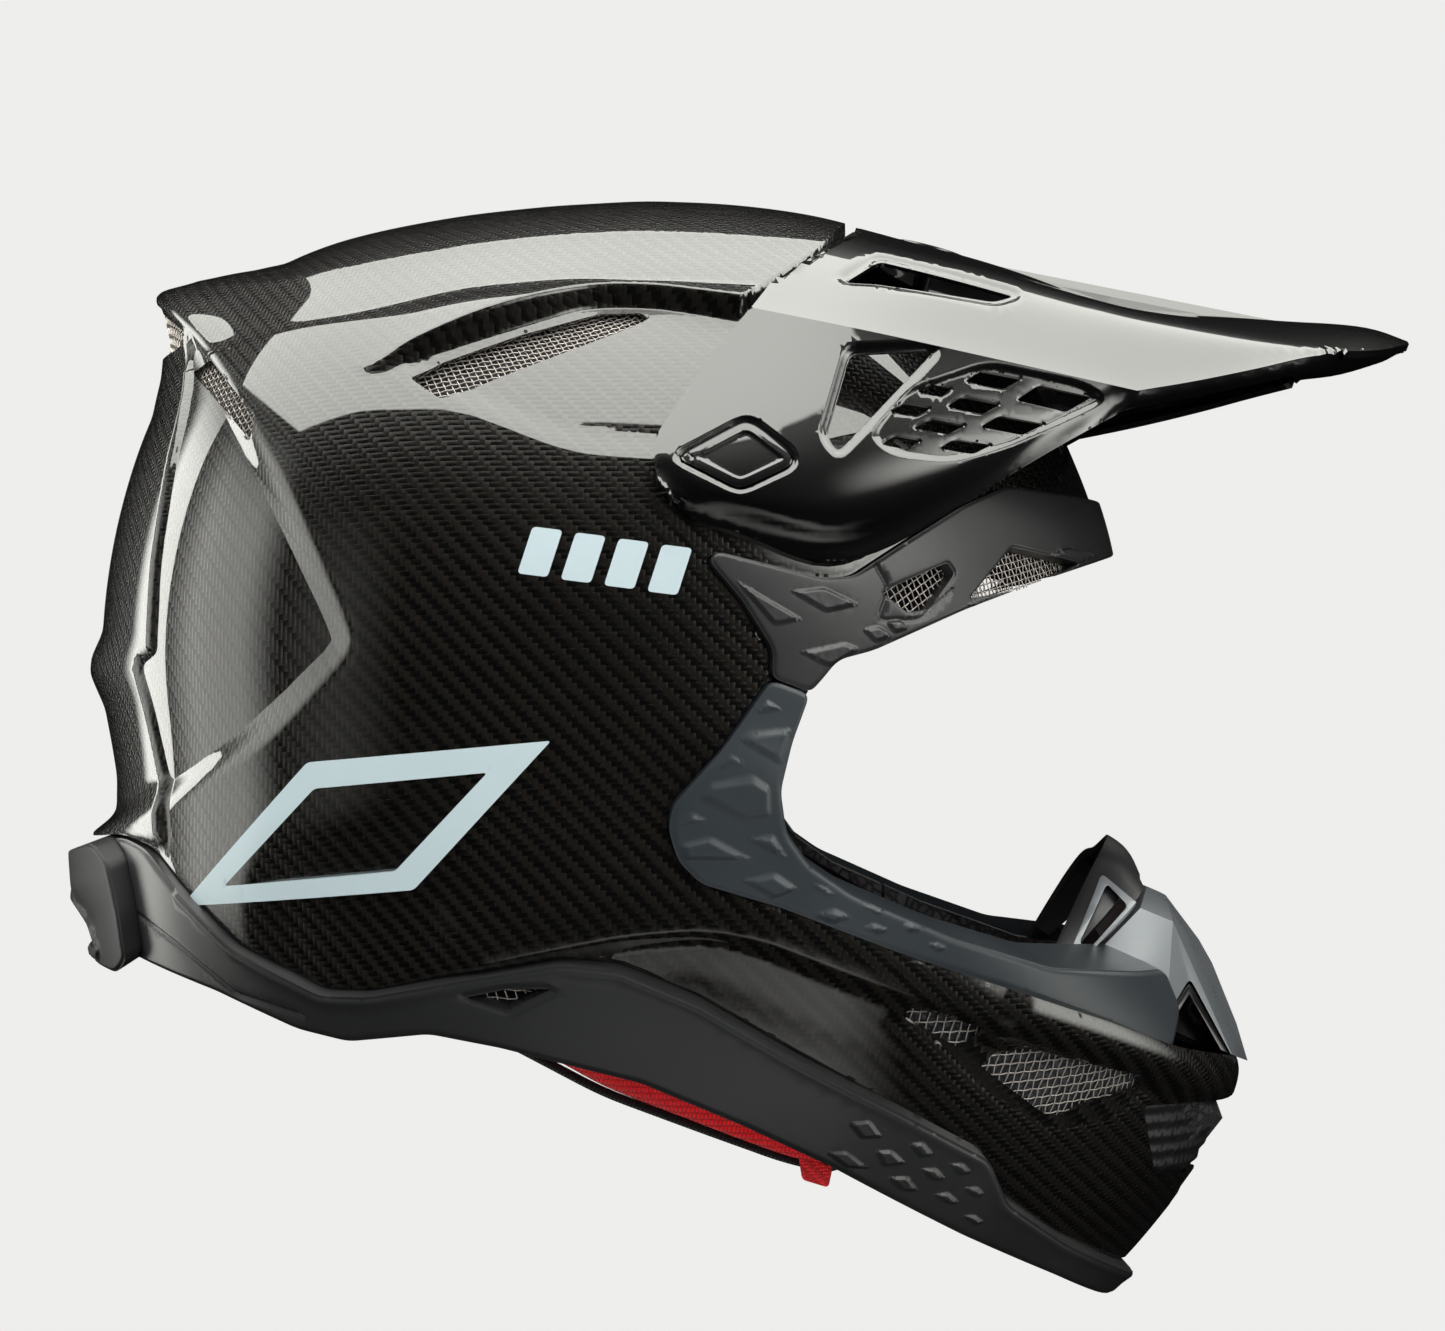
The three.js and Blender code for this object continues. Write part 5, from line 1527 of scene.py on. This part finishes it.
def make_nose_guard():
    """Sheet of rubber over the nose with a framed window each side."""
    rows_across = [*NOSE_ROWS, *([(x, -y, z) for x, y, z in row] for row in NOSE_ROWS[-2::-1])]
    top, bottom = (curve([row[k] for row in rows_across], 61) for k in (0, 1))
    points, faces = [], []
    count, rows = len(top), 9
    for j in range(rows):
        v = j / (rows - 1)
        bulge = 1.6 * math.sin(math.pi * v)
        for i in range(count):
            p = top[i] * (1 - v) + bottom[i] * v
            points.append((p[0] + bulge * 0.7, p[1], p[2] + bulge * 0.7))
    for j in range(rows - 1):
        for i in range(count - 1):
            faces.append((j * count + i, (j + 1) * count + i, (j + 1) * count + i + 1, j * count + i + 1))
    guard = from_faces("nose_guard_rubber", points, faces)
    step = guard.modifiers.new("thick", "SOLIDIFY")
    step.thickness, step.offset = 2.4 * MM, 0
    applied(guard)
    window = [(144, -61.5), (149.5, -67.5), (137.5, -80), (135.3, -77.5)]
    # the windows are blind: a thin wall closes them from behind
    wall = linked("nose_guard_wall", guard.data.copy())
    for v in wall.data.vertices:
        v.co.x, v.co.y = v.co.x * 0.968, v.co.y * 0.94
    behind = [(143, -58), (152, -67), (138, -84), (129, -78)]
    cut_by(wall, side_prism("wall_keep", behind, -80, 80), "INTERSECT")
    finished(wall, BLACK_RUBBER, 40)
    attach(wall, "helmet")
    # and each has a lighter frame of its own
    border = rounded([(142.8, -58.8), (153, -67.5), (136.8, -83), (133, -79.3)], 1.6, 2)
    rim = linked("nose_guard_frame", guard.data.copy())
    for v in rim.data.vertices:
        v.co.x, v.co.y = v.co.x * 1.003, v.co.y * 1.008
    cut_by(rim, side_prism("frame_keep", border.tolist(), -80, 80), "INTERSECT")
    cut_by(rim, side_prism("frame_hole", rounded(window, 1.4, 2).tolist(), -81, 81))
    cut_by(rim, side_prism("frame_middle", [(100, -120), (180, -120), (180, -40), (100, -40)], -14, 14))
    bevelled(rim, 0.4, 2, 30)
    finished(rim, GREY_PLASTIC, 40)
    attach(rim, "helmet")
    for sign in (-1, 1):
        y = sorted((sign * 14, sign * 70))
        cut_by(guard, side_prism("window", rounded(window, 1.4, 2).tolist(), *y))
    bevelled(guard, 0.7, 3, 30)
    settle(finished(guard, MATTE_PLASTIC, 40), "helmet", "matte_black_plastic", "nose_guard")


make_nose_guard()


def make_grille():
    """The chin's front grille: a recessed plate with bars."""
    outline = on_dome([(158, -118), (226, -118), (216, -152), (150, -152)], 3, 2)
    low, high = outline.min(0) - 3, outline.max(0) + 3
    relief = Relief(low, high, 0.5)
    heights = (-122, -126.5, -131, -135.5, -140, -144.5)
    bars = [DOME.locate(densified([(150, z), (230, z)], 1.5, False)) for z in heights]
    for bar in bars:
        relief.ridge(bar, 1.0, 1.6)
    extra = [bar + [0, d] for bar in bars for d in (-1.2, -0.5, 0.5, 1.2)]
    keep = on_dome([(157, -119), (226, -119), (214, -150), (154, -150)], 2, 2)
    half = panel(DOME, keep, [], 2.2, -4.6, 1.0, relief, 0.6, extra, (tuple(low), tuple(high)))
    half.join(half.mirrored())
    grille = half.make("chin_grille_plastic", MATTE_PLASTIC)
    settle(grille, "helmet", "matte_black_plastic", "chin_front_grille")


make_grille()


# ---------------------------------------------------------------- peak screw
HEAD_PROFILE = [
    (2.2, -16.8), (2.5, -16.4), (2.5, -2.9), (7.8, -2.8), (8.4, -2.3), (8.4, -0.9), (7.7, -0.2),
    (4.4, -0.2), (4.0, -0.5), (3.6, -0.5),
]
DISH_PROFILE = [
    (8.8, -4.2), (10.4, -4.2), (10.6, -0.9), (10.3, -0.1), (9.7, 0.1), (9.2, -0.4), (9.0, -3.1),
    (3.0, -3.2), (3.0, -4.2), (8.8, -4.2),
]
NOTCHES, NOTCH_CIRCLE = 12, 9.0


def make_screw():
    place = Matrix.Translation(SCREW) @ Matrix.Rotation(SCREW_TILT, 4, "Y")
    head = turned("peak_screw_head", HEAD_PROFILE, place, MATTE_PLASTIC)
    cut_by(head, turned("hexagon", [(2.6, -1.8), (2.6, 2)], place, MATTE_PLASTIC, 6))
    for k in range(NOTCHES):
        a = 2 * math.pi * k / NOTCHES
        spot = place @ Matrix.Translation((NOTCH_CIRCLE * math.cos(a), NOTCH_CIRCLE * math.sin(a), 0))
        cut_by(head, turned("notch", [(1.1, -4), (1.1, 2)], spot, MATTE_PLASTIC, 10))
    settle(finished(head, MATTE_PLASTIC), "peak_screw", "matte_black_plastic", "peak_screw")
    settle(turned("peak_screw_dish", DISH_PROFILE, place, GLOSS, 64), "peak", "gloss_black")


make_screw()


# ---------------------------------------------------------------- liners and pads
class InnerDome(Dome):
    """The dome seen from inside: out counts towards the head."""

    right_sign = -1.0

    def point(self, uv, out=0.0):
        return Dome.point(self, uv, -out)


INNER = InnerDome()
CROWN_ZONE = [
    (-260, 260), (104, 260), (104, 40), (62, 4), (40, -22), (4, -22), (-50, -22), (-52, -60), (-130, -54),
    (-260, -40),
]
NECK_ZONE = [(-150, -62), (-56, -72), (-56, -97), (-79, -94), (-102, -85), (-128, -76), (-150, -72)]


LINER_PUFF = 3.0
DOME_REACH = 235


def liner_panel(name, node, zone, out, depth, seams):
    """A soft liner: puffed between its seams, with a rolled edge and a stitched cord along each seam."""
    outline = on_dome(zone, 6, 3)
    reach = np.maximum(np.linalg.norm(outline, axis=1, keepdims=True), 1)
    outline = outline * np.minimum(1, DOME_REACH / reach)
    low, high = np.maximum(outline.min(0) - 4, -214), np.minimum(outline.max(0) + 4, 214)
    relief = Relief(low, high, 1.0)
    _, nodes, shape = relief.window(np.array([low, high]), 0)
    gap = distance(nodes, outline)
    lines = [DOME.locate(densified(s, 3, False)) for s in seams]
    for line in lines:
        gap = np.minimum(gap, distance(nodes, line, False))
    relief.grid = (LINER_PUFF * (1 - np.exp(-gap / 5.5)) - LINER_PUFF * 0.5).reshape(shape)
    extra = [line + [0.7 * d, 0.7 * d] for line in lines for d in (-5, -2.4, -0.8, 0, 0.8, 2.4, 5)]
    half = panel(INNER, outline, [], 4.5, out, depth, relief, 2.4, extra, (tuple(low), tuple(high)), 9)
    half.join(half.mirrored())
    for line in lines:
        on = line[np.linalg.norm(line, axis=1) < DOME.rim - 2]
        if len(on) > 3:
            stitch = Build()
            tube(stitch, INNER.point(on, out - LINER_PUFF * 0.5 + 0.2), 0.5, 6)
            half.join(stitch)
            half.join(stitch.mirrored())
    thing = half.make(name, BLACK_KNIT)
    settle(thing, "helmet", "black_fabric", node)


CROWN_SEAMS = [
    [(-110, 20), (-60, 78), (10, 92), (90, 66)], [(-96, -10), (-60, 40), (0, 60), (86, 32)],
    [(-70, -50), (-52, -8), (0, 22), (60, 12)], [(-40, 110), (-30, 30), (-34, -20)],
    [(40, 110), (34, 30), (30, -20)],
]
liner_panel("comfort_liner_knit", "comfort_liner", CROWN_ZONE, 44.2, 7.4, CROWN_SEAMS)
liner_panel("neck_roll_knit", "neck_roll", NECK_ZONE, 41.5, 23, [[(-128, -69), (-58, -84)]])

CHEEK_PAD = [
    (-44, -70), (-3, -70), (3, -34), (22, -31), (44, -46), (56, -57), (79, -70), (82, -112), (68, -138),
    (54, -134.5), (29, -125), (2, -115), (-16, -106), (-40, -94),
]
PAD_SEEN = [
    *CHEEK_PAD[:7], (83, -113), (69.5, -141), (54, -138), (29, -129), (2, -119), (-16, -109.5), (-40, -97),
]
PAD_INNER, PAD_OUTER = 52, 79


def cushion(outline, seam_lines):
    """A stuffed pad: two crowned faces that meet in a seam, with a valley along each stitched line."""
    low, high = outline.min(0) - 3, outline.max(0) + 3
    lines = [densified(s, 2.5, False) for s in seam_lines]
    extra = [outline] + [moved_out(outline, -d) for d in (0.8, 1.8, 3.2, 5.2, 8.0, 11.5)]
    for line in lines:
        t = np.gradient(line, axis=0)
        n = unit(np.stack([t[:, 1], -t[:, 0]], 1))
        extra += [line + n * d for d in (-4, -1.6, 0, 1.6, 4)]
    box = (tuple(low), tuple(high))
    uv, tris = triangulated([(outline, True)], lambda q: inside(q, outline), 3.4, extra, box)
    edge = distance(uv, outline)
    half = (PAD_OUTER - PAD_INNER) / 2
    middle = (PAD_OUTER + PAD_INNER) / 2
    build = Build()
    for inner in (True, False):
        t = np.clip(edge / (15 if inner else 8), 0, 1)
        rise = half * np.sqrt(np.maximum(1 - (1 - t) ** 2, 0)) * (0.80 if inner else 0.9)
        if inner:
            rise += 1.4 * np.sin(uv[:, 0] * 0.11 + 0.6) * np.sin(uv[:, 1] * 0.09) * smoothstep(4, 16, edge)
            for line in lines:
                rise -= 3.4 * np.exp(-distance(uv, line, False) / 2.6) * smoothstep(0, 8, edge)
            rise += 1.6 * smoothstep(6, 26, edge)
        points = np.stack([uv[:, 0], -(middle + rise * (-1 if inner else 1)), uv[:, 1]], 1)
        order = tris[:, ::-1] if inner else tris
        normals = np.zeros_like(points)
        a, b, c = (points[order[:, k]] for k in range(3))
        face = np.cross(b - a, c - a)
        for k in range(3):
            np.add.at(normals, order[:, k], face)
        build.add(points, order, unit(normals), uv)
    return build, middle


SWELL_FRAMES = 20
SWELL_LIMIT = 3.0


def co_of(mesh):
    co = np.empty(len(mesh.vertices) * 3)
    mesh.vertices.foreach_get("co", co)
    return co.reshape(-1, 3)


def swollen(pad, other):
    """Stuffing pushes the knit out, as cloth under pressure, up to the limit. The other pad mirrors it."""
    shape = bmesh.new()
    shape.from_mesh(pad.data)
    bmesh.ops.remove_doubles(shape, verts=shape.verts, dist=0.00002)
    proxy = linked("stuffed", bpy.data.meshes.new("stuffed"))
    shape.to_mesh(proxy.data)
    shape.free()
    start = co_of(proxy.data)
    settings = proxy.modifiers.new("cloth", "CLOTH").settings
    settings.quality, settings.mass = 5, 0.3
    settings.use_pressure, settings.uniform_pressure_force = True, 4.0
    settings.effector_weights.gravity = 0
    for frame_number in range(1, SWELL_FRAMES + 1):
        bpy.context.scene.frame_set(frame_number)
    shift = co_of(proxy.evaluated_get(bpy.context.evaluated_depsgraph_get()).data) - start
    length = np.linalg.norm(shift, axis=1, keepdims=True)
    shift *= np.minimum(1, SWELL_LIMIT * MM / np.maximum(length, 1e-9))
    bpy.data.objects.remove(proxy)
    bpy.context.scene.frame_set(1)
    nearest = KDTree(len(start))
    for i, co in enumerate(start):
        nearest.insert(co, i)
    nearest.balance()
    own = [nearest.find(v.co)[1] for v in pad.data.vertices]
    for thing, side in ((pad, 1), (other, -1)):
        for v, i in zip(thing.data.vertices, own):
            v.co += Vector((shift[i, 0], shift[i, 1] * side, shift[i, 2]))
        thing.data.update()


def make_cheek_pads():
    pads = []
    outline = moved_out(rounded(PAD_SEEN, 7, 2.2), -0.8)
    seams = [[(6, -42), (22, -56), (46, -72), (76, -90)], [(-38, -82), (0, -92), (36, -108), (66, -126)]]
    build, middle = cushion(outline, seams)
    piping = Build()
    tube(piping, np.stack([outline[:, 0], np.full(len(outline), -middle), outline[:, 1]], 1), 1.3, 8, True)
    tab_outline = rounded([(56.5, -135.8), (66, -138.4), (64.8, -144.2), (57.5, -142)], 1.2, 1.5).tolist()
    for side, sign in (("right", -1), ("left", 1)):
        body = f"cheek_pad_{side}"
        pad = (build if side == "right" else build.mirrored()).make(f"cheek_pad_{side}_knit", RED_KNIT)
        settle(pad, body, "red_fabric", f"cheek_pad_{side}")
        pads.append(pad)
        cord = (piping if side == "right" else piping.mirrored()).make(f"cheek_pad_{side}_piping", BLACK_KNIT)
        settle(cord, body, "black_fabric")
        tab = side_prism(f"release_tab_{side}_tape", tab_outline, *sorted((sign * 60, sign * 72)))
        settle(finished(bevelled(tab, 0.5, 2), RED_TAPE), body, "red_webbing", f"release_tab_{side}")
    swollen(*pads)


make_cheek_pads()


# ---------------------------------------------------------------- chin strap
WEB = [
    (-80.5, -36), (-80.5, -50), (-79, -57), (-68, -60), (-54, -63), (-46, -73), (-34, -89), (-19, -99),
    (0, -102.5),
]


TAPE_THICK = 1.5


def stitching(name, path, normals, along, rows):
    """Rows of thread across the tape, on both its faces."""
    build = Build()
    for i in rows:
        for a in np.linspace(-0.4, 0.4, 13):
            for s in (-1, 1):
                p = path[i] + normals[i] * s * (TAPE_THICK * 0.5 + 0.05)
                ends = [p - along[i] * 0.9, p + normals[i] * s * 0.25, p + along[i] * 0.9]
                tube(build, [(STRAP_X + a * STRAP_WIDTH, q[0], q[1]) for q in ends], 0.22, 5)
    settle(build.make(name, RED_TAPE), "chin_strap", "red_webbing")


def webbing_band(name, path, stitches):
    """Tape across X along a path of (y, z), with rows of stitching across it at those lengths."""
    path = curve([(0, y, z) for y, z in path], max(24, len(path) * 12))[:, 1:]
    t = np.gradient(path, axis=0)
    n = unit(np.stack([-t[:, 1], t[:, 0]], 1))
    length = np.concatenate([[0], np.cumsum(np.linalg.norm(np.diff(path, axis=0), axis=1))])
    across = np.linspace(-0.5, 0.5, 25)
    top = [(a, 0.5 * (1 - 0.35 * (abs(a) > 0.47)) - 0.12 * (abs(abs(a) - 0.4) < 0.02)) for a in across]
    corners = top + [(a, -b) for a, b in top[::-1]]
    points, faces, uvs = [], [], []
    k = len(corners)
    for i, p in enumerate(path):
        for a, b in corners:
            q = p + n[i] * b * TAPE_THICK
            points.append((STRAP_X + a * STRAP_WIDTH, q[0], q[1]))
            uvs.append((a * STRAP_WIDTH, length[i]))
    for i in range(len(path) - 1):
        for j in range(k):
            m = (j + 1) % k
            faces.append((i * k + j, i * k + m, (i + 1) * k + m, (i + 1) * k + j))
    faces += [tuple(range(k))[::-1], tuple((len(path) - 1) * k + j for j in range(k))]
    band = closed_body(name, points, faces)
    layer = band.data.uv_layers.new(name="UVMap")
    index = np.empty(len(band.data.loops), int)
    band.data.loops.foreach_get("vertex_index", index)
    layer.data.foreach_set("uv", (np.array(uvs)[index] * MM).ravel())
    rows = [int(np.argmin(np.abs(length - where))) for where in stitches]
    stitching(name + "_stitching", path, n, unit(t), rows)
    return finished(band, BLACK_TAPE, 50)


def make_strap():
    left = [(-y, z) for y, z in WEB[:-1][::-1]]
    short = webbing_band("chin_strap_short_tape", WEB[:7] + [(-33, -90.5)], (52, 58))
    long = webbing_band("chin_strap_long_tape", [(-17, -98.2), *WEB[-1:], *left], (30, 100))
    settle(short, "chin_strap", "black_webbing", "chin_strap_short")
    settle(long, "chin_strap", "black_webbing", "chin_strap_long")
    for name, z in (("d_ring_front", -96), ("d_ring_rear", -99.5)):
        w, h = STRAP_WIDTH / 2 + 1.4, 14
        loop = rounded([(-w, 0), (w, 0), (w, 6), (w * 0.55, h), (-w * 0.55, h), (-w, 6)], 4.5, 1.2)
        turn = Matrix.Translation((STRAP_X, -27.5, z)) @ Matrix.Rotation(math.radians(-28), 4, "X")
        ring = Build()
        tube(ring, [tuple(turn @ Vector((x, y, 0))) for x, y in loop], 1.35, 12, True)
        settle(ring.make(name + "_bar", STEEL), "chin_strap", "steel", name)


make_strap()


# ---------------------------------------------------------------- pieces kept as they are in the frame
def repaint(material, *names):
    for name in names:
        mesh = bpy.data.objects[name].data
        mesh.materials.clear()
        mesh.materials.append(material)


SIDES = ("right", "left")
repaint(BEADS, "eps_crown_liner", "eps_rear_liner", *(f"eps_side_liner_{s}" for s in SIDES), "eps_chin_liner")
repaint(MATTE_PLASTIC, *(f"cheek_pad_backing_{s}" for s in SIDES))
repaint(STEEL, "peak_screw_nut", *(f"{name}_{s}" for name in ("strap_anchor", "peak_pivot_stud") for s in SIDES))


# ---------------------------------------------------------------- printed graphics
FLASH = [(-113, -66), (-76, -26), (-10, -20), (-47, -60)]
FLASH_HOLE = [(-100, -60), (-74, -33), (-27, -28.5), (-52, -55)]
BAR = [(-19, 24.5), (-15, 37), (-7, 36), (-11, 23.5)]
BARS = [[(x + 11.5 * k, z - 1.6 * k) for x, z in BAR] for k in range(4)]


def printed(outline, holes=()):
    """A decal that follows the shell's face."""
    line = on_dome(outline, 1.2)
    cuts = [on_dome(h, 1.2) for h in holes]
    box = (tuple(line.min(0) - 3), tuple(line.max(0) + 3))
    return panel(DOME, line, cuts, 2.2, 0.12, 0.12, SHELL_RELIEF, 0.15, (), box, 2.2)


def make_graphics():
    whole = printed(FLASH, [FLASH_HOLE])
    for bar in BARS:
        whole.join(printed(bar))
    whole.join(whole.mirrored())
    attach(whole.make("shell_graphics", MINT), "helmet")


make_graphics()


# ---------------------------------------------------------------- studio
def aimed(thing, place):
    """Puts it there, facing the origin."""
    thing.location = place
    thing.rotation_euler = (Vector((0, 0, 0)) - Vector(place)).to_track_quat("-Z", "Y").to_euler()


def glow(name, strength, fade):
    """A light surface that fades towards its edges."""
    material = bpy.data.materials.new(name)
    material.use_nodes = True
    nodes = Nodes(material.node_tree)
    nodes.tree.nodes.clear()
    parts = nodes.node("ShaderNodeSeparateXYZ", {0: nodes.uv()})
    edges = []
    for t in parts.outputs[:2]:
        folded = nodes.math("ABSOLUTE", nodes.math("MULTIPLY_ADD", t, 2.0, -1.0))
        edges.append(nodes.ramp(folded, 1 - fade, 1.0, 1.0, 0.0, interpolation_type="SMOOTHSTEP"))
    power = nodes.math("MULTIPLY", nodes.math("MULTIPLY", *edges), strength)
    light = nodes.node("ShaderNodeEmission", {"Color": (1.0, 1.0, 0.945, 1), "Strength": power})
    nodes.node("ShaderNodeOutputMaterial", {"Surface": light.outputs[0]})
    return material


def stage_panel(name, corners, strength, fade, place=None):
    """A softbox that only glossy surfaces see, so that the gloss shows its clean edges."""
    mesh = bpy.data.meshes.new(name)
    mesh.from_pydata(corners, [], [(0, 1, 2, 3)])
    layer = mesh.uv_layers.new(name="UVMap")
    layer.data.foreach_set("uv", [0, 0, 1, 0, 1, 1, 0, 1])
    mesh.materials.append(glow(name, strength, fade))
    thing = linked(name, mesh)
    if place:
        aimed(thing, place)
    thing.visible_camera = thing.visible_diffuse = thing.visible_shadow = thing.visible_transmission = False


def sheet(width, depth):
    w, d = width / 2, depth / 2
    return [(-w, -d, 0), (w, -d, 0), (w, d, 0), (-w, d, 0)]


def area_light(name, place, size, power):
    data = bpy.data.lights.new(name, "AREA")
    data.shape = "RECTANGLE"
    data.size, data.size_y = size
    data.energy = power
    thing = linked(name, data)
    aimed(thing, place)
    thing.visible_glossy = False


PALE = (0.855, 0.855, 0.84)


def make_world():
    world = bpy.data.worlds.new("studio")
    world.use_nodes = True
    bpy.context.scene.world = world
    tree = world.node_tree
    tree.nodes.clear()
    out = tree.nodes.new("ShaderNodeOutputWorld")
    kinds = ("ShaderNodeBackground", "ShaderNodeBackground", "ShaderNodeMixShader")
    seen, lit, mix = (tree.nodes.new(kind) for kind in kinds)
    path = tree.nodes.new("ShaderNodeLightPath")
    seen.inputs[0].default_value = (*PALE, 1)
    lit.inputs[0].default_value = (0.004, 0.004, 0.0042, 1)
    tree.links.new(path.outputs["Is Camera Ray"], mix.inputs[0])
    tree.links.new(lit.outputs[0], mix.inputs[1])
    tree.links.new(seen.outputs[0], mix.inputs[2])
    tree.links.new(mix.outputs[0], out.inputs[0])


FLOOR_HEIGHT, FLOOR_RADIUS = -0.246, 0.55


def make_floor():
    """A pale disc that fades into the backdrop, clear below a released cheek pad."""
    around = np.linspace(0, 2 * math.pi, 96, False)
    ring = [(FLOOR_RADIUS * math.cos(a), FLOOR_RADIUS * math.sin(a), FLOOR_HEIGHT) for a in around]
    mesh = bpy.data.meshes.new("studio_floor")
    mesh.from_pydata(ring, [], [tuple(range(len(ring)))])
    s = Shader("studio_floor", (0.8, 0.8, 0.79), 0.8)
    far = s.node("ShaderNodeVectorMath", {0: s.place()}, operation="LENGTH").outputs["Value"]
    s.use(alpha=s.ramp(far, 0.12, 0.5, 0.55, 0.0))
    mesh.materials.append(s.material)
    floor = linked("studio_floor", mesh)
    floor.visible_glossy = False


OVERHEAD = [(-2.0, -0.62, 1.5), (3.4, -1.9, 1.5), (3.4, 1.5, 1.5), (-2.0, 0.75, 1.5)]
PANELS = [
    # name, size, place, strength, how much of it fades
    ("right_high_panel", (2.4, 1.5), (1.5, -1.2, 0.8), 3.0, 0.9),
    ("right_low_panel", (1.5, 1.1), (1.75, -0.25, -0.15), 1.8, 0.8),
    ("low_front_bounce", (2.2, 1.1), (0.3, -1.3, -1.2), 0.42, 0.95),
    ("left_panel", (0.8, 2.4), (-1.7, 0.85, 0.1), 3.8, 0.6),
    ("left_wide_panel", (1.5, 2.2), (-1.72, -0.1, 0.1), 1.2, 0.7),
    ("left_front_panel", (1.4, 1.8), (-1.5, -1.4, 0.1), 0.16, 1.0),
]

make_world()
make_floor()
stage_panel("overhead_softbox", OVERHEAD, 2.9, 0.02)
for name, size, place, strength, fade in PANELS:
    stage_panel(name, sheet(*size), strength, fade, place)
area_light("overhead_fill", (0.1, -0.3, 1.3), (2.4, 2.0), 40)
area_light("front_fill", (0.5, -1.8, 0.5), (1.6, 1.2), 18)
area_light("low_fill", (0.3, -1.1, -0.9), (1.4, 0.6), 9)
area_light("rear_fill", (-1.6, 0.2, 0.9), (1.2, 1.2), 30)
bpy.context.scene.view_settings.view_transform = "Standard"
